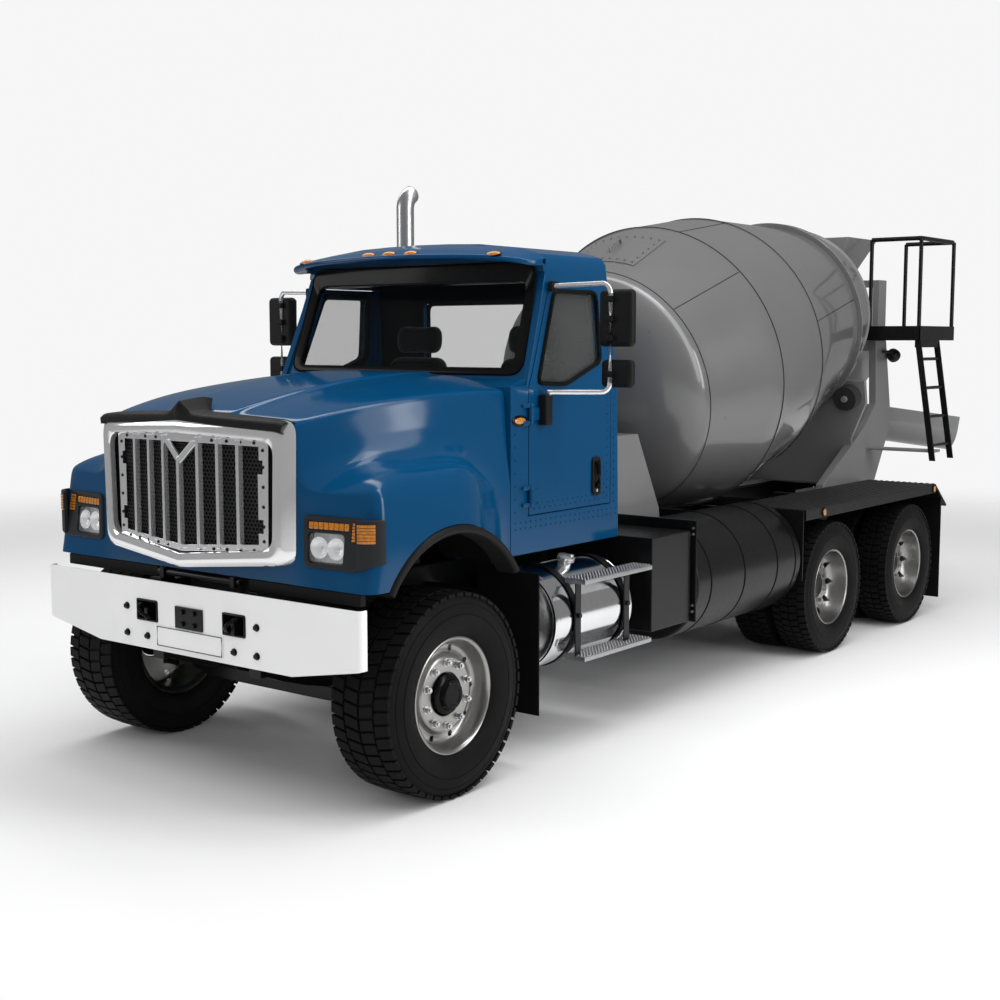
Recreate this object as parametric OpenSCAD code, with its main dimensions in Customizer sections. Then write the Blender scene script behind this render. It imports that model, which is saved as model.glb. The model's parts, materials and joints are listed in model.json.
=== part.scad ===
// Conventional-cab concrete mixer truck, 6 by 4, in millimetres.
// +Z is up, the nose points along -Y and the driver sits on the +X side.
// Places along the truck are measured from the front axle and then moved by front_axle_y.

/* [Wheels] */
// Front tyre radius, also the height of the front axle
front_tyre_r = 544; // [530:1:555]
// Front tyre width
front_tyre_w = 400; // [380:1:405]
// Outer face of the front tyres, from the middle plane
front_face_x = 1270; // [1262:1:1280]
// Bead seat radius of the front rims
front_seat_r = 300; // [290:1:305]
// Rear tyre radius, also the height of the rear axles
rear_tyre_r = 503; // [490:1:515]
// Rear tyre width
rear_tyre_w = 280; // [260:1:285]
// Outer face of the rear tyres, from the middle plane
rear_face_x = 1257; // [1250:1:1262]
// Distance between the middles of a pair of twin tyres
twin_pitch = 335; // [325:1:340]
// Bead seat radius of the rear rims
rear_seat_r = 282; // [275:1:288]
// Wall of the rim barrels and discs
rim_wall = 14; // [10:1:18]
// Radius of the front wheel spindles
spindle_r = 45; // [38:1:50]
// Radius of the rear wheel spindles
rear_spindle_r = 52; // [45:1:58]

/* [Chassis] */
// Front axle, from the middle of the truck's length
front_axle_y = -3730; // [-3740:1:-3720]
// Front axle to the first rear axle
wheelbase = 4519; // [4500:1:4540]
// Between the two rear axles
tandem = 1475; // [1460:1:1490]
// Outer face of the frame rails, from the middle plane
rail_x = 430; // [420:1:440]
// Height of the rails' top
rail_top = 1060; // [1050:1:1070]
// Depth of the rails
rail_h = 280; // [260:1:290]
// Width of the rails' flanges
rail_flange = 90; // [80:1:100]
// Wall of the rails
rail_wall = 14; // [10:1:18]
// Front end of the rails, ahead of the front axle
rail_front = 600; // [595:1:605]
// Rear end of the rails, behind the front axle
rail_rear = 6950; // [6900:1:7000]
// Kingpin, from the middle plane
kingpin_x = 915; // [910:1:920]
// Radius of the kingpin
kingpin_r = 22; // [18:1:26]

/* [Bumper] */
// Half width of the bumper
bumper_x = 1227; // [1200:1:1240]
// Bumper face, ahead of the front axle
bumper_front = 690; // [680:1:700]
// Height of the bumper's top
bumper_top = 1082; // [1075:1:1088]
// Height of the bumper's lower edge in the middle
bumper_low = 700; // [680:1:730]
// Wall of the bumper
bumper_wall = 12; // [8:1:16]
// Hole to hole across the tow plate
tow_pitch_x = 90; // [70:1:110]
// Hole to hole up the tow plate
tow_pitch_z = 64; // [50:1:80]
// Radius of the tow plate holes
tow_hole_r = 9; // [7:0.5:11]

/* [Hood] */
// Front face of the hood, ahead of the front axle
hood_front = 622; // [616:1:628]
// Rear edge of the hood, behind the front axle
hood_rear = 790; // [780:1:795]
// Height of the hood's lower edge
hood_low = 1150; // [1146:1:1156]
// Height of the hood's middle at the nose
nose_z = 1985; // [1960:1:2010]
// Height of the hood's middle at the cowl
cowl_z = 2180; // [2160:1:2195]
// Half width of the hood's shoulder at the nose
nose_x = 715; // [705:1:730]
// Outer face of the fenders, from the middle plane
fender_x = 1205; // [1195:1:1215]
// Height of the fenders' crest
crest_z = 1745; // [1720:1:1770]
// Wall of the hood
hood_wall = 30; // [22:1:36]
// Radius of the wheel arches
arch_r = 628; // [615:1:640]
// Hood hinge height
hood_hinge_z = 1122; // [1118:1:1128]
// Hood hinge, ahead of the front axle
hood_hinge_front = 610; // [606:1:614]
// Radius of the hood hinge tube
hood_hinge_r = 20; // [16:1:24]

/* [Cab] */
// Half width of the cab below the belt line
cab_x = 1000; // [985:1:1010]
// Height of the belt line
belt_z = 2110; // [2100:1:2125]
// Lean of the cab sides above the belt line, in degrees
side_lean = 4.6; // [3:0.1:5.5]
// Height of the cab's lower edge
cab_low = 1150; // [1140:1:1170]
// Cab rear face, behind the front axle
cab_rear = 1905; // [1890:1:1920]
// Height of the roof's side edges
eave_z = 2760; // [2745:1:2775]
// Height of the roof's crown over the eaves
roof_rise = 187; // [170:1:200]
// Wall of the cab and doors
cab_wall = 45; // [38:1:50]
// Windshield lean from upright, in degrees
screen_lean = 19; // [17:0.5:21]
// Thickness of the glass
glass_t = 8; // [5:1:10]
// Front edge of the doors, behind the front axle
door_front = 968; // [962:1:975]
// Rear edge of the doors, behind the front axle
door_rear = 1805; // [1795:1:1815]
// Height of the doors' lower edge
door_low = 1372; // [1360:1:1385]
// Radius of the door hinge pins
door_pin_r = 7; // [5:1:9]

/* [Tanks and steps] */
// Radius of the fuel tanks
fuel_r = 300; // [285:1:303]
// Middle of the fuel tanks, from the middle plane
fuel_x = 870; // [860:1:872]
// Length of the fuel tanks
fuel_len = 800; // [780:1:820]
// Radius of the water tanks
water_r = 400; // [385:1:405]
// Start of the water tanks, behind the front axle
water_y = 2470; // [2465:1:2500]
// Gap from the water tanks to the rear decks
water_gap = 45; // [30:1:80]
// Outer edge of the steps, from the middle plane
step_x = 1252; // [1245:1:1260]
// Width of a step tread
step_w = 145; // [130:1:147]
// Radius of the exhaust stack
stack_r = 62; // [56:1:66]

/* [Drum] */
// Lean of the drum's axis, in degrees
drum_tilt = 11.8; // [11.5:0.1:12.1]
// Radius at the front seam
drum_r_front = 886; // [870:1:895]
// Largest radius
drum_r_max = 1094; // [1080:1:1100]
// Radius at the third seam
drum_r_third = 1052; // [1040:1:1060]
// Radius at the rear lip
drum_r_lip = 708; // [695:1:720]
// Wall of the drum
drum_wall = 14; // [10:1:18]
// Height of the running ring over the drum
ring_h = 42; // [36:1:46]
// Radius of the support rollers
roller_r = 105; // [98:1:110]
// Radius of the drum's drive shaft
drum_shaft_r = 70; // [60:1:78]

/* [Rear gear] */
// Height of the work platform's floor
platform_z = 2490; // [2475:1:2505]
// Height of the handrail
handrail_z = 3235; // [3210:1:3260]
// Inside radius of the chute
chute_r = 205; // [190:1:212]
// Length of the chute
chute_len = 1080; // [1040:1:1120]
// Slope of the chute below level, in degrees
chute_slope = 8; // [6:1:10]
// Swing of the parked chute towards the driver's side, in degrees
chute_swing = 50; // [44:1:54]
// Wall of the chute
chute_wall = 10; // [7:1:12]
// Chute pivot, behind the front axle
chute_pivot_y = 7300; // [7285:1:7315]

/* [Hidden] */
$fn = 64;

// Clearance of seated pieces, of pins in their bores, and between moving pieces
seat_gap = 0.3;
run_gap = 6;
// Overlap of cutters past the faces that they cut
past = 40;

// Colours of the finishes
blue = [0.04, 0.26, 0.48];
black = [0.06, 0.06, 0.065];
grey = [0.55, 0.55, 0.56];
silver = [0.82, 0.83, 0.85];
white = [0.9, 0.9, 0.91];
rubber = [0.05, 0.05, 0.05];
glass = [0.55, 0.6, 0.62, 0.4];

// Moves a shape from the front axle's frame to the truck's own frame
module placed() {
    translate([0, front_axle_y, 0]) children();
}

// A shape and its mirror image on the other side of the truck
module both_sides() {
    children();
    mirror([1, 0, 0]) children();
}

// A shape on the +X side, or its mirror image
module on_side(left) {
    if (left) children();
    else mirror([1, 0, 0]) children();
}

// An outline in (y, z), as thick as the span from x0 to x1
module side_plate(x0, x1) {
    translate([x0, 0, 0]) rotate([90, 0, 90]) linear_extrude(x1 - x0) children();
}

// An outline in (x, z), as thick as the span from y0 to y1
module cross_plate(y0, y1) {
    translate([0, y1, 0]) rotate([90, 0, 0]) linear_extrude(y1 - y0) children();
}

// A box from one corner to the other
module block(low, high) {
    translate(low) cube(high - low);
}

// A cylinder across the truck
module cross_bar(x0, x1, y, z, r) {
    translate([x0, y, z]) rotate([0, 90, 0]) cylinder(r = r, h = x1 - x0, $fn = r > 300 ? 180 : 64);
}

// A cylinder along the truck
module long_bar(y0, y1, x, z, r) {
    translate([x, y0, z]) rotate([-90, 0, 0]) cylinder(r = r, h = y1 - y0);
}

// A round bar between two points
module bar(p, q, r) {
    d = q - p;
    lean = acos(d[2] / norm(d));
    turn = atan2(d[1], d[0]);
    translate(p) rotate([0, lean, turn]) cylinder(r = r, h = norm(d), $fn = 24);
}

// A closed outline drawn inwards by d, or outwards where d is negative; its points run anticlockwise
function unit(v) = v / norm(v);
function edge_normal(a, b) = let (u = unit(b - a)) [-u[1], u[0]];
function inset(pts, d) = [for (i = [0:len(pts) - 1])
    let (n = len(pts), p = pts[i],
         n1 = edge_normal(pts[(i + n - 1) % n], p),
         n2 = edge_normal(p, pts[(i + 1) % n]))
    p + d * (n1 + n2) / (1 + n1 * n2)];

function mix(a, b, t) = a + (b - a) * t;

// Wheels
front_axle_z = front_tyre_r;
rear_axle_z = rear_tyre_r;
rear_axle_1 = wheelbase;
rear_axle_2 = wheelbase + tandem;

// Span of the decks over the rear wheels
deck_over = 11;
deck_front = rear_axle_1 - rear_tyre_r - deck_over;
deck_rear = rear_axle_2 + rear_tyre_r + deck_over;
front_wheel_x = front_face_x - front_tyre_w / 2;
twin_out_x = rear_face_x - rear_tyre_w / 2;
twin_mid_x = twin_out_x - twin_pitch / 2;
tread_round = 26;
bead_h = 42;
flange_h = 18;
flange_t = 12;
hub_gap = 5;

// Half width of a tyre where it sits on its rim
function bead_half(w) = w * 0.36;

// A tyre about the x axis, in the middle of its width
module tyre(r, w, seat) {
    b = bead_half(w);
    half = w / 2;
    mid = mix(seat, r, 0.5);
    outline = [[seat, -b], [seat + bead_h, -b], [mid, -half], [r - tread_round * 2, -half + 6],
        [r - 10, -half + tread_round], [r, -half + tread_round * 2], [r, half - tread_round * 2],
        [r - 10, half - tread_round], [r - tread_round * 2, half - 6], [mid, half],
        [seat + bead_h, b], [seat, b]];
    rotate([0, 90, 0]) rotate_extrude($fn = 96) polygon(outline);
}

// The barrel of a rim with its two flanges
module rim_barrel(w, seat) {
    b = bead_half(w) + seat_gap;
    out = seat - seat_gap;
    lip = seat + flange_h;
    outline = [[out - rim_wall, -b - flange_t], [lip, -b - flange_t], [lip, -b], [out, -b], [out, b],
        [lip, b], [lip, b + flange_t], [out - rim_wall, b + flange_t]];
    rotate([0, 90, 0]) rotate_extrude($fn = 96) polygon(outline);
}

// A wheel disc with its ring of hand holes, its outer face at x
module rim_disc(x, seat, hub_r, holes) {
    ring = mix(hub_r, seat, 0.66);
    hole_r = (seat - hub_r) * 0.17;
    difference() {
        cross_bar(x - rim_wall, x, 0, 0, seat - rim_wall / 2);
        for (i = [0:holes - 1])
            rotate([360 / holes * i, 0, 0]) cross_bar(x - rim_wall - past, x + past, 0, ring, hole_r);
    }
}

// Frame
sub_t = 30;
cross_t = 12;
cross_h = 156;
cross_ys = [-560, 1700, 3300, 4150, rear_axle_1 + tandem / 2];

module frame_rails() {
    color(black) placed() {
        both_sides() difference() {
            block([rail_x - rail_flange, -rail_front, rail_top - rail_h], [rail_x, rail_rear, rail_top]);
            block([rail_x - rail_flange - past, -rail_front - past, rail_top - rail_h + rail_wall],
                [rail_x - rail_wall, rail_rear + past, rail_top - rail_wall]);
        }
        for (y = cross_ys)
            block([-rail_x + rail_wall, y, rail_top - rail_wall - cross_h],
                [rail_x - rail_wall, y + cross_t, rail_top - rail_wall]);
        rear_crossmember();
    }
}

// The closing plate at the rear of the rails, with the holes of a tow coupling
module rear_crossmember() {
    difference() {
        block([-rail_x, rail_rear, rail_top - rail_h], [rail_x, rail_rear + cross_t, rail_top]);
        for (x = [-1, 1], z = [-1, 1])
            long_bar(rail_rear - past, rail_rear + past, x * tow_pitch_x,
                rail_top - rail_h / 2 + z * tow_pitch_z, tow_hole_r);
    }
}

// Bumper and what is behind it
bumper_kink_x = 760;
bumper_end_z = bumper_low + 85;
bumper_round = 28;
bumper_depth = 2 * bumper_round;
pocket_x = 345;
pocket_z = 912;
pocket_w = 172;
pocket_h = 117;
plate_z = 905;
plate_w = 217;
plate_h = 118;
plate_t = 10;

bumper_face = [[-bumper_x, bumper_end_z], [-bumper_kink_x, bumper_low], [bumper_kink_x, bumper_low],
    [bumper_x, bumper_end_z], [bumper_x, bumper_top], [-bumper_x, bumper_top]];

// Plan of the bumper's outside, drawn inwards by d
module bumper_plan(d) {
    r = bumper_round - d;
    for (s = [-1, 1])
        translate([s * (bumper_x - bumper_round), -bumper_front + bumper_round]) circle(r);
    translate([-bumper_x + bumper_round, -bumper_front + d]) square([2 * (bumper_x - bumper_round), r]);
    translate([-bumper_x + d, -bumper_front + bumper_round])
        square([2 * (bumper_x - d), bumper_depth - bumper_round + (d > 0 ? past : 0)]);
}

module bumper() {
    color(white) placed() difference() {
        intersection() {
            translate([0, 0, bumper_low - past]) linear_extrude(bumper_top - bumper_low + past)
                bumper_plan(0);
            cross_plate(-bumper_front - past, past) polygon(bumper_face);
        }
        translate([0, 0, bumper_low - 2 * past]) linear_extrude(bumper_top - bumper_low + 4 * past)
            bumper_plan(bumper_wall);
        for (s = [-1, 1])
            block([s * pocket_x - pocket_w / 2, -bumper_front - past, pocket_z - pocket_h / 2],
                [s * pocket_x + pocket_w / 2, 0, pocket_z + pocket_h / 2]);
        for (x = [-1, 1], z = [-1, 1])
            long_bar(-bumper_front - past, 0, x * tow_pitch_x / 2, plate_z + z * tow_pitch_z / 2, tow_hole_r);
    }
}

pocket_wall = 9;
hook_t = 26;
hinge_ear_x = 300;
hinge_ear_t = 24;

module tow_gear() {
    back = -bumper_front + bumper_wall;
    color(black) placed() {
        both_sides() {
            block([rail_x - rail_flange, back, rail_top - rail_h],
                [rail_x, -rail_front, pocket_z - pocket_h / 2 + pocket_wall / 2]);
            tow_pocket();
            hood_ear();
        }
        cross_bar(-hinge_ear_x - hinge_ear_t, hinge_ear_x + hinge_ear_t, -hood_hinge_front, hood_hinge_z,
            hood_hinge_r);
        difference() {
            block([-plate_w / 2, -bumper_front - plate_t, plate_z - plate_h / 2],
                [plate_w / 2, -bumper_front, plate_z + plate_h / 2]);
            for (x = [-1, 1], z = [-1, 1])
                long_bar(-bumper_front - past, 0, x * tow_pitch_x / 2, plate_z + z * tow_pitch_z / 2,
                    tow_hole_r);
        }
    }
}

// The lined pocket in the bumper and the hook in it
module tow_pocket() {
    w = pocket_w / 2 - seat_gap;
    h = pocket_h / 2 - seat_gap;
    t = pocket_wall;
    back = -rail_front - seat_gap;
    translate([pocket_x, 0, pocket_z]) {
        difference() {
            block([-w, -bumper_front - 6, -h], [w, back, h]);
            block([-w + t, -bumper_front - past, -h + t], [w - t, back - t, h - t]);
        }
        block([-hook_t / 2, -bumper_front - 12, -h + t / 2], [hook_t / 2, back - t / 2, 16]);
    }
}

// Ear that carries the hood hinge tube on the end of a rail
module hood_ear() {
    r = hood_hinge_r + 2;
    side_plate(hinge_ear_x, hinge_ear_x + hinge_ear_t) polygon([[-hood_hinge_front, rail_top],
        [-rail_front + 70, rail_top], [-rail_front + 70, rail_top + 30],
        [-hood_hinge_front + r * 0.7, hood_hinge_z + r * 0.7], [-hood_hinge_front - r, hood_hinge_z]]);
    cross_bar(hinge_ear_x, hinge_ear_x + hinge_ear_t, -hood_hinge_front, hood_hinge_z, r);
    block([hinge_ear_x, -rail_front, rail_top], [rail_x, -rail_front + 70, rail_top + 16]);
}

// Engine and driveline
engine_front = 430;
engine_rear = 740;
engine_x = 380;
gearbox_rear = 1560;
shaft_r = 58;
shaft_z = 840;
pinion_len = 300;
pinion_up = 60;
pinion_r = 75;
shaft_over = 40;
pinion_y = rear_axle_1 - pinion_len;

module engine() {
    color(grey) placed() {
        block([-engine_x, -engine_front, rail_top], [engine_x, engine_rear, 1700]);
        block([-300, -engine_front, 640], [300, engine_rear, rail_top]);
        block([-190, engine_rear, 680], [190, gearbox_rear, 1030]);
    }
}

module drive_shafts() {
    color(black) placed() {
        intersection() {
            bar([0, gearbox_rear - shaft_over, shaft_z], [0, pinion_y + shaft_over, rear_axle_z + pinion_up],
                shaft_r);
            block([-shaft_z, gearbox_rear, 0], [shaft_z, pinion_y, 2 * shaft_z]);
        }
        long_bar(rear_axle_1 + bowl_r, rear_axle_2 - pinion_len, 0, rear_axle_z + pinion_up,
            shaft_r - 8);
    }
}

// Front axle
beam_low = 395;
beam_h = 82;
beam_w = 110;
boss_r = 55;
boss_half = 90;

module front_axle() {
    mid = front_axle_z;
    half_outline = [[0, beam_low], [600, beam_low], [kingpin_x - 40, mid - 48], [kingpin_x, mid - 48],
        [kingpin_x, mid + 42], [kingpin_x - 60, mid + 42], [580, beam_low + beam_h], [0, beam_low + beam_h]];
    color(black) placed() difference() {
        both_sides() {
            cross_plate(-beam_w / 2, beam_w / 2) polygon(half_outline);
            translate([kingpin_x, 0, mid - boss_half]) cylinder(r = boss_r, h = 2 * boss_half);
        }
        both_sides() translate([kingpin_x, 0, mid - boss_half - past])
            cylinder(r = kingpin_r + seat_gap, h = 2 * (boss_half + past));
    }
}

// Leaf springs between the axle beam and hangers under the rails
spring_x = rail_x - rail_flange / 2;
spring_w = 88;
spring_front = 590;
spring_back = 730;
leaf_t = 22;
spring_steps = 8;

function spring_rise(y) = 150 * pow(y / spring_back, 2);
function pack_h(y) = leaf_t + 66 * max(0, 1 - abs(y) / (spring_front - 40));

module leaf_springs() {
    seat = beam_low + beam_h;
    ys = [for (i = [0:spring_steps]) mix(-spring_front, spring_back, i / spring_steps)];
    top = seat + pack_h(0);
    curve = concat([for (y = ys) [y, top + spring_rise(y)]],
        [for (i = [spring_steps:-1:0]) let (y = ys[i]) [y, top + spring_rise(y) - pack_h(y)]]);
    color(black) placed() both_sides() {
        side_plate(spring_x - spring_w / 2, spring_x + spring_w / 2) polygon(curve);
        block([spring_x - spring_w / 2, -beam_w / 2, seat], [spring_x + spring_w / 2, beam_w / 2, top]);
        for (y = [-spring_front, spring_back - 60])
            block([spring_x - spring_w / 2, y, top + spring_rise(y) - 40],
                [spring_x + spring_w / 2, y + 60, rail_top - rail_h]);
    }
}

// Steering knuckles
ear_t = 30;
knuckle_back = kingpin_x + boss_r + run_gap;
knuckle_plate = 22;
front_hub_in = knuckle_back + knuckle_plate + hub_gap;
front_hub_out = front_face_x - 30;
hub_cap_t = 12;

module knuckle(left) {
    ear_z = boss_half + run_gap;
    color(black) placed() on_side(left) translate([0, 0, front_axle_z]) {
        for (s = [-1, 1])
            block([kingpin_x - 50, -50, s > 0 ? ear_z : -ear_z - ear_t],
                [knuckle_back + knuckle_plate, 50, s > 0 ? ear_z + ear_t : -ear_z]);
        block([knuckle_back, -62, -ear_z - ear_t], [knuckle_back + knuckle_plate, 62, ear_z + ear_t]);
        translate([kingpin_x, 0, -ear_z - ear_t]) cylinder(r = kingpin_r, h = 2 * (ear_z + ear_t));
        cross_bar(knuckle_back, front_hub_out - hub_cap_t - run_gap, 0, 0, spindle_r);
    }
}

module knuckle_left() { knuckle(true); }
module knuckle_right() { knuckle(false); }

// Front wheels
front_hub_r = 118;
front_disc_x = front_face_x - 78;

module front_tyre(left) {
    color(rubber) placed() on_side(left) translate([front_wheel_x, 0, front_axle_z])
        tyre(front_tyre_r, front_tyre_w, front_seat_r);
}

module front_rim(left) {
    color(silver) placed() on_side(left) translate([0, 0, front_axle_z]) difference() {
        union() {
            translate([front_wheel_x, 0, 0]) rim_barrel(front_tyre_w, front_seat_r);
            rim_disc(front_disc_x, front_seat_r, front_hub_r, 10);
            cross_bar(front_hub_in, front_disc_x, 0, 0, front_hub_r);
            cross_bar(front_disc_x, front_hub_out, 0, 0, front_hub_r * 0.6);
        }
        cross_bar(front_hub_in - past, front_hub_out - hub_cap_t, 0, 0, spindle_r + seat_gap);
    }
}

module front_tyre_left() { front_tyre(true); }
module front_tyre_right() { front_tyre(false); }
module front_rim_left() { front_rim(true); }
module front_rim_right() { front_rim(false); }

// Rear wheels
rear_hub_r = 140;
rear_hub_in = 725;
rear_hub_out = twin_mid_x + 175;
rear_tube_r = 72;
bowl_r = 190;
bowl_half = 110;

module twin_tyres(y, left) {
    color(rubber) placed() on_side(left) translate([twin_mid_x, y, rear_axle_z])
        for (s = [-1, 1]) translate([s * twin_pitch / 2, 0, 0]) tyre(rear_tyre_r, rear_tyre_w, rear_seat_r);
}

module twin_rims(y, left) {
    color(silver) placed() on_side(left) translate([0, y, rear_axle_z]) difference() {
        union() {
            for (s = [-1, 1]) translate([twin_mid_x + s * twin_pitch / 2, 0, 0])
                rim_barrel(rear_tyre_w, rear_seat_r);
            twin_discs();
            cross_bar(rear_hub_in, twin_mid_x + rim_wall, 0, 0, rear_hub_r);
            cross_bar(twin_mid_x, rear_hub_out, 0, 0, rear_hub_r * 0.62);
        }
        cross_bar(rear_hub_in - past, rear_hub_out - hub_cap_t, 0, 0, rear_spindle_r + seat_gap);
    }
}

// The two discs back to back, with the cones that join them to the barrels
module twin_discs() {
    reach = twin_pitch / 2 - bead_half(rear_tyre_w) - flange_t;
    out = rear_seat_r - seat_gap - rim_wall / 2;
    difference() {
        union() {
            cross_bar(twin_mid_x - rim_wall, twin_mid_x + rim_wall, 0, 0, rear_seat_r * 0.8);
            for (s = [-1, 1]) translate([twin_mid_x, 0, 0]) rotate([0, 90 * s, 0]) difference() {
                cylinder(r1 = rear_seat_r * 0.8, r2 = out, h = reach + 20);
                translate([0, 0, rim_wall])
                    cylinder(r1 = rear_seat_r * 0.8 - rim_wall, r2 = out - rim_wall, h = reach + 20);
            }
        }
        for (i = [0:9]) translate([0, 0, 0]) rotate([36 * i, 0, 0])
            cross_bar(twin_mid_x - past, twin_mid_x + past, 0, rear_seat_r * 0.66, 24);
    }
}

module twin_tyres_1_left() { twin_tyres(rear_axle_1, true); }
module twin_tyres_1_right() { twin_tyres(rear_axle_1, false); }
module twin_tyres_2_left() { twin_tyres(rear_axle_2, true); }
module twin_tyres_2_right() { twin_tyres(rear_axle_2, false); }
module twin_rims_1_left() { twin_rims(rear_axle_1, true); }
module twin_rims_1_right() { twin_rims(rear_axle_1, false); }
module twin_rims_2_left() { twin_rims(rear_axle_2, true); }
module twin_rims_2_right() { twin_rims(rear_axle_2, false); }

module rear_axles() {
    spindle_end = rear_hub_out - hub_cap_t - run_gap;
    color(black) placed() for (y = [rear_axle_1, rear_axle_2]) {
        cross_bar(-rear_hub_in + hub_gap, rear_hub_in - hub_gap, y, rear_axle_z, rear_tube_r);
        cross_bar(-spindle_end, spindle_end, y, rear_axle_z, rear_spindle_r);
        axle_bowl(y);
        long_bar(y - pinion_len, y, 0, rear_axle_z + pinion_up, pinion_r);
    }
}

// Housing of a rear axle's gears
module axle_bowl(y) {
    cross_bar(-bowl_half, bowl_half, y, rear_axle_z, bowl_r);
    for (s = [-1, 1]) translate([s * bowl_half, y, rear_axle_z]) rotate([0, 90 * s, 0])
        cylinder(r1 = bowl_r, r2 = rear_tube_r, h = bowl_half);
}

// Walking beams, one on each side, on a saddle under the rails
beam_x0 = rail_x + 30;
beam_x1 = rail_x + 130;

module walking_beams() {
    mid = rear_axle_1 + tandem / 2;
    z = rear_axle_z;
    outline = [[rear_axle_1 - 150, z - 90], [rear_axle_2 + 150, z - 90], [rear_axle_2 + 150, z + 90],
        [mid + 260, z + 130], [mid - 260, z + 130], [rear_axle_1 - 150, z + 90]];
    color(black) placed() both_sides() difference() {
        union() {
            side_plate(beam_x0, beam_x1) polygon(outline);
            block([rail_x, mid - 160, z + 60], [beam_x1 - 20, mid + 160, rail_top - 60]);
        }
        for (y = [rear_axle_1, rear_axle_2])
            cross_bar(rail_x - past, beam_x1 + past, y, z, rear_tube_r + seat_gap);
    }
}

// Cab
roof_z = eave_z + roof_rise;
lean_run = (eave_z - belt_z) * tan(side_lean);
eave_x = cab_x - lean_run;
cowl_y = hood_rear + run_gap;
floor_z = cab_low + 60;
floor_t = 45;
screen_base = [985, 2140];
screen_top = [screen_base[0] + (eave_z - screen_base[1]) * tan(screen_lean), eave_z];
aperture_gap = 6;

// Side outlines in (y, z), anticlockwise
door_top_z = eave_z - 62;
door_top_y = door_front + (door_top_z - belt_z) * tan(screen_lean) + 60;
door_outline = [[door_front, door_low], [door_rear, door_low], [door_rear, belt_z],
    [door_rear - 30, door_top_z], [door_top_y, door_top_z], [door_front + 34, belt_z + 60],
    [door_front, belt_z]];
window = [[door_front + 82, belt_z + 14], [door_front + 360, belt_z + 2], [door_rear - 105, belt_z + 130],
    [door_rear - 112, door_top_z - 45], [door_top_y + 32, door_top_z - 45]];
side_outline = [[cowl_y, cab_low], [cab_rear, cab_low], [cab_rear - 25, belt_z], [cab_rear - 75, eave_z],
    [screen_top[0], eave_z], [screen_base[0] - 40, belt_z], [cowl_y, belt_z]];

// Outside of the cab at a height, where its sides lean inwards above the belt line
function side_at(z) = cab_x - max(0, z - belt_z) * tan(side_lean);

// An outline in (y, z) on the cab's side, between two depths under its skin
module side_skin(outline, d0, d1) {
    intersection() {
        cross_plate(cowl_y - past, cab_rear + past) polygon([[cab_x - d1, cab_low - past],
            [cab_x - d0, cab_low - past], [cab_x - d0, belt_z], [side_at(eave_z) - d0, eave_z],
            [side_at(eave_z) - d1, eave_z], [cab_x - d1, belt_z]]);
        side_plate(eave_x - cab_wall - past, cab_x + past) polygon(outline);
    }
}

// A shape in the plane of the windshield, whose base edge is the x axis
module on_screen() {
    translate([0, screen_base[0], screen_base[1]]) rotate([-screen_lean, 0, 0]) children();
}

// Roof section in (x, z), anticlockwise: a slight crown with rounded shoulders
crown_drop = 42;
shoulder_drop = 66;
roof_half = [[eave_x, eave_z], [eave_x - 8, eave_z + 62], [eave_x - 40, eave_z + 104],
    [eave_x - 95, roof_z - shoulder_drop], [eave_x - 190, roof_z - crown_drop], [eave_x / 2, roof_z - 12],
    [eave_x / 4, roof_z - 3]];
roof_section = concat(roof_half, [[0, roof_z]],
    [for (i = [len(roof_half) - 1:-1:0]) [-roof_half[i][0], roof_half[i][1]]]);

// Inside of the roof, open downwards
hollow_half = [[eave_x - cab_wall, eave_z - past], [eave_x - cab_wall - 12, eave_z + 40],
    [eave_x - cab_wall - 95, roof_z - shoulder_drop - cab_wall], [eave_x / 2, roof_z - cab_wall - 14]];
roof_hollow = concat(hollow_half, [[0, roof_z - cab_wall]],
    [for (i = [len(hollow_half) - 1:-1:0]) [-hollow_half[i][0], hollow_half[i][1]]]);

screen_h = (eave_z - screen_base[1]) / cos(screen_lean);
screen_half_low = cab_x - 130;
screen_half_top = eave_x - 105;
screen_outline = [[-screen_half_low, 60], [screen_half_low, 60], [screen_half_top, screen_h - 50],
    [-screen_half_top, screen_h - 50]];
rear_glass = [[-520, belt_z + 60], [520, belt_z + 60], [500, belt_z + 500], [-500, belt_z + 500]];

module cab_shell() {
    color(blue) placed() {
        difference() {
            union() {
                both_sides() side_skin(side_outline, 0, cab_wall);
                cab_rear_wall();
                cab_front_wall();
            }
            both_sides() side_plate(eave_x - cab_wall - past, cab_x + past)
                polygon(inset(door_outline, -aperture_gap));
        }
        cab_floor();
        cab_roof();
        both_sides() door_hinge_pins();
    }
}

module cab_floor() {
    block([-cab_x + cab_wall, cowl_y, floor_z], [cab_x - cab_wall, cab_rear - 20, floor_z + floor_t]);
    both_sides() for (y = [1010, 1760])
        block([rail_x - rail_flange, y, rail_top], [rail_x, y + 100, floor_z]);
}

module cab_rear_wall() {
    outline = [[cab_rear - cab_wall, cab_low], [cab_rear, cab_low], [cab_rear - 25, belt_z],
        [cab_rear - 75, eave_z], [cab_rear - 75 - cab_wall, eave_z], [cab_rear - 25 - cab_wall, belt_z]];
    difference() {
        intersection() {
            side_plate(-cab_x, cab_x) polygon(outline);
            cross_plate(0, cab_rear + past) polygon([[-cab_x, cab_low], [cab_x, cab_low], [cab_x, belt_z],
                [eave_x, eave_z], [-eave_x, eave_z], [-cab_x, belt_z]]);
        }
        cross_plate(cab_rear - 200, cab_rear + past) polygon(rear_glass);
    }
}

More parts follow.
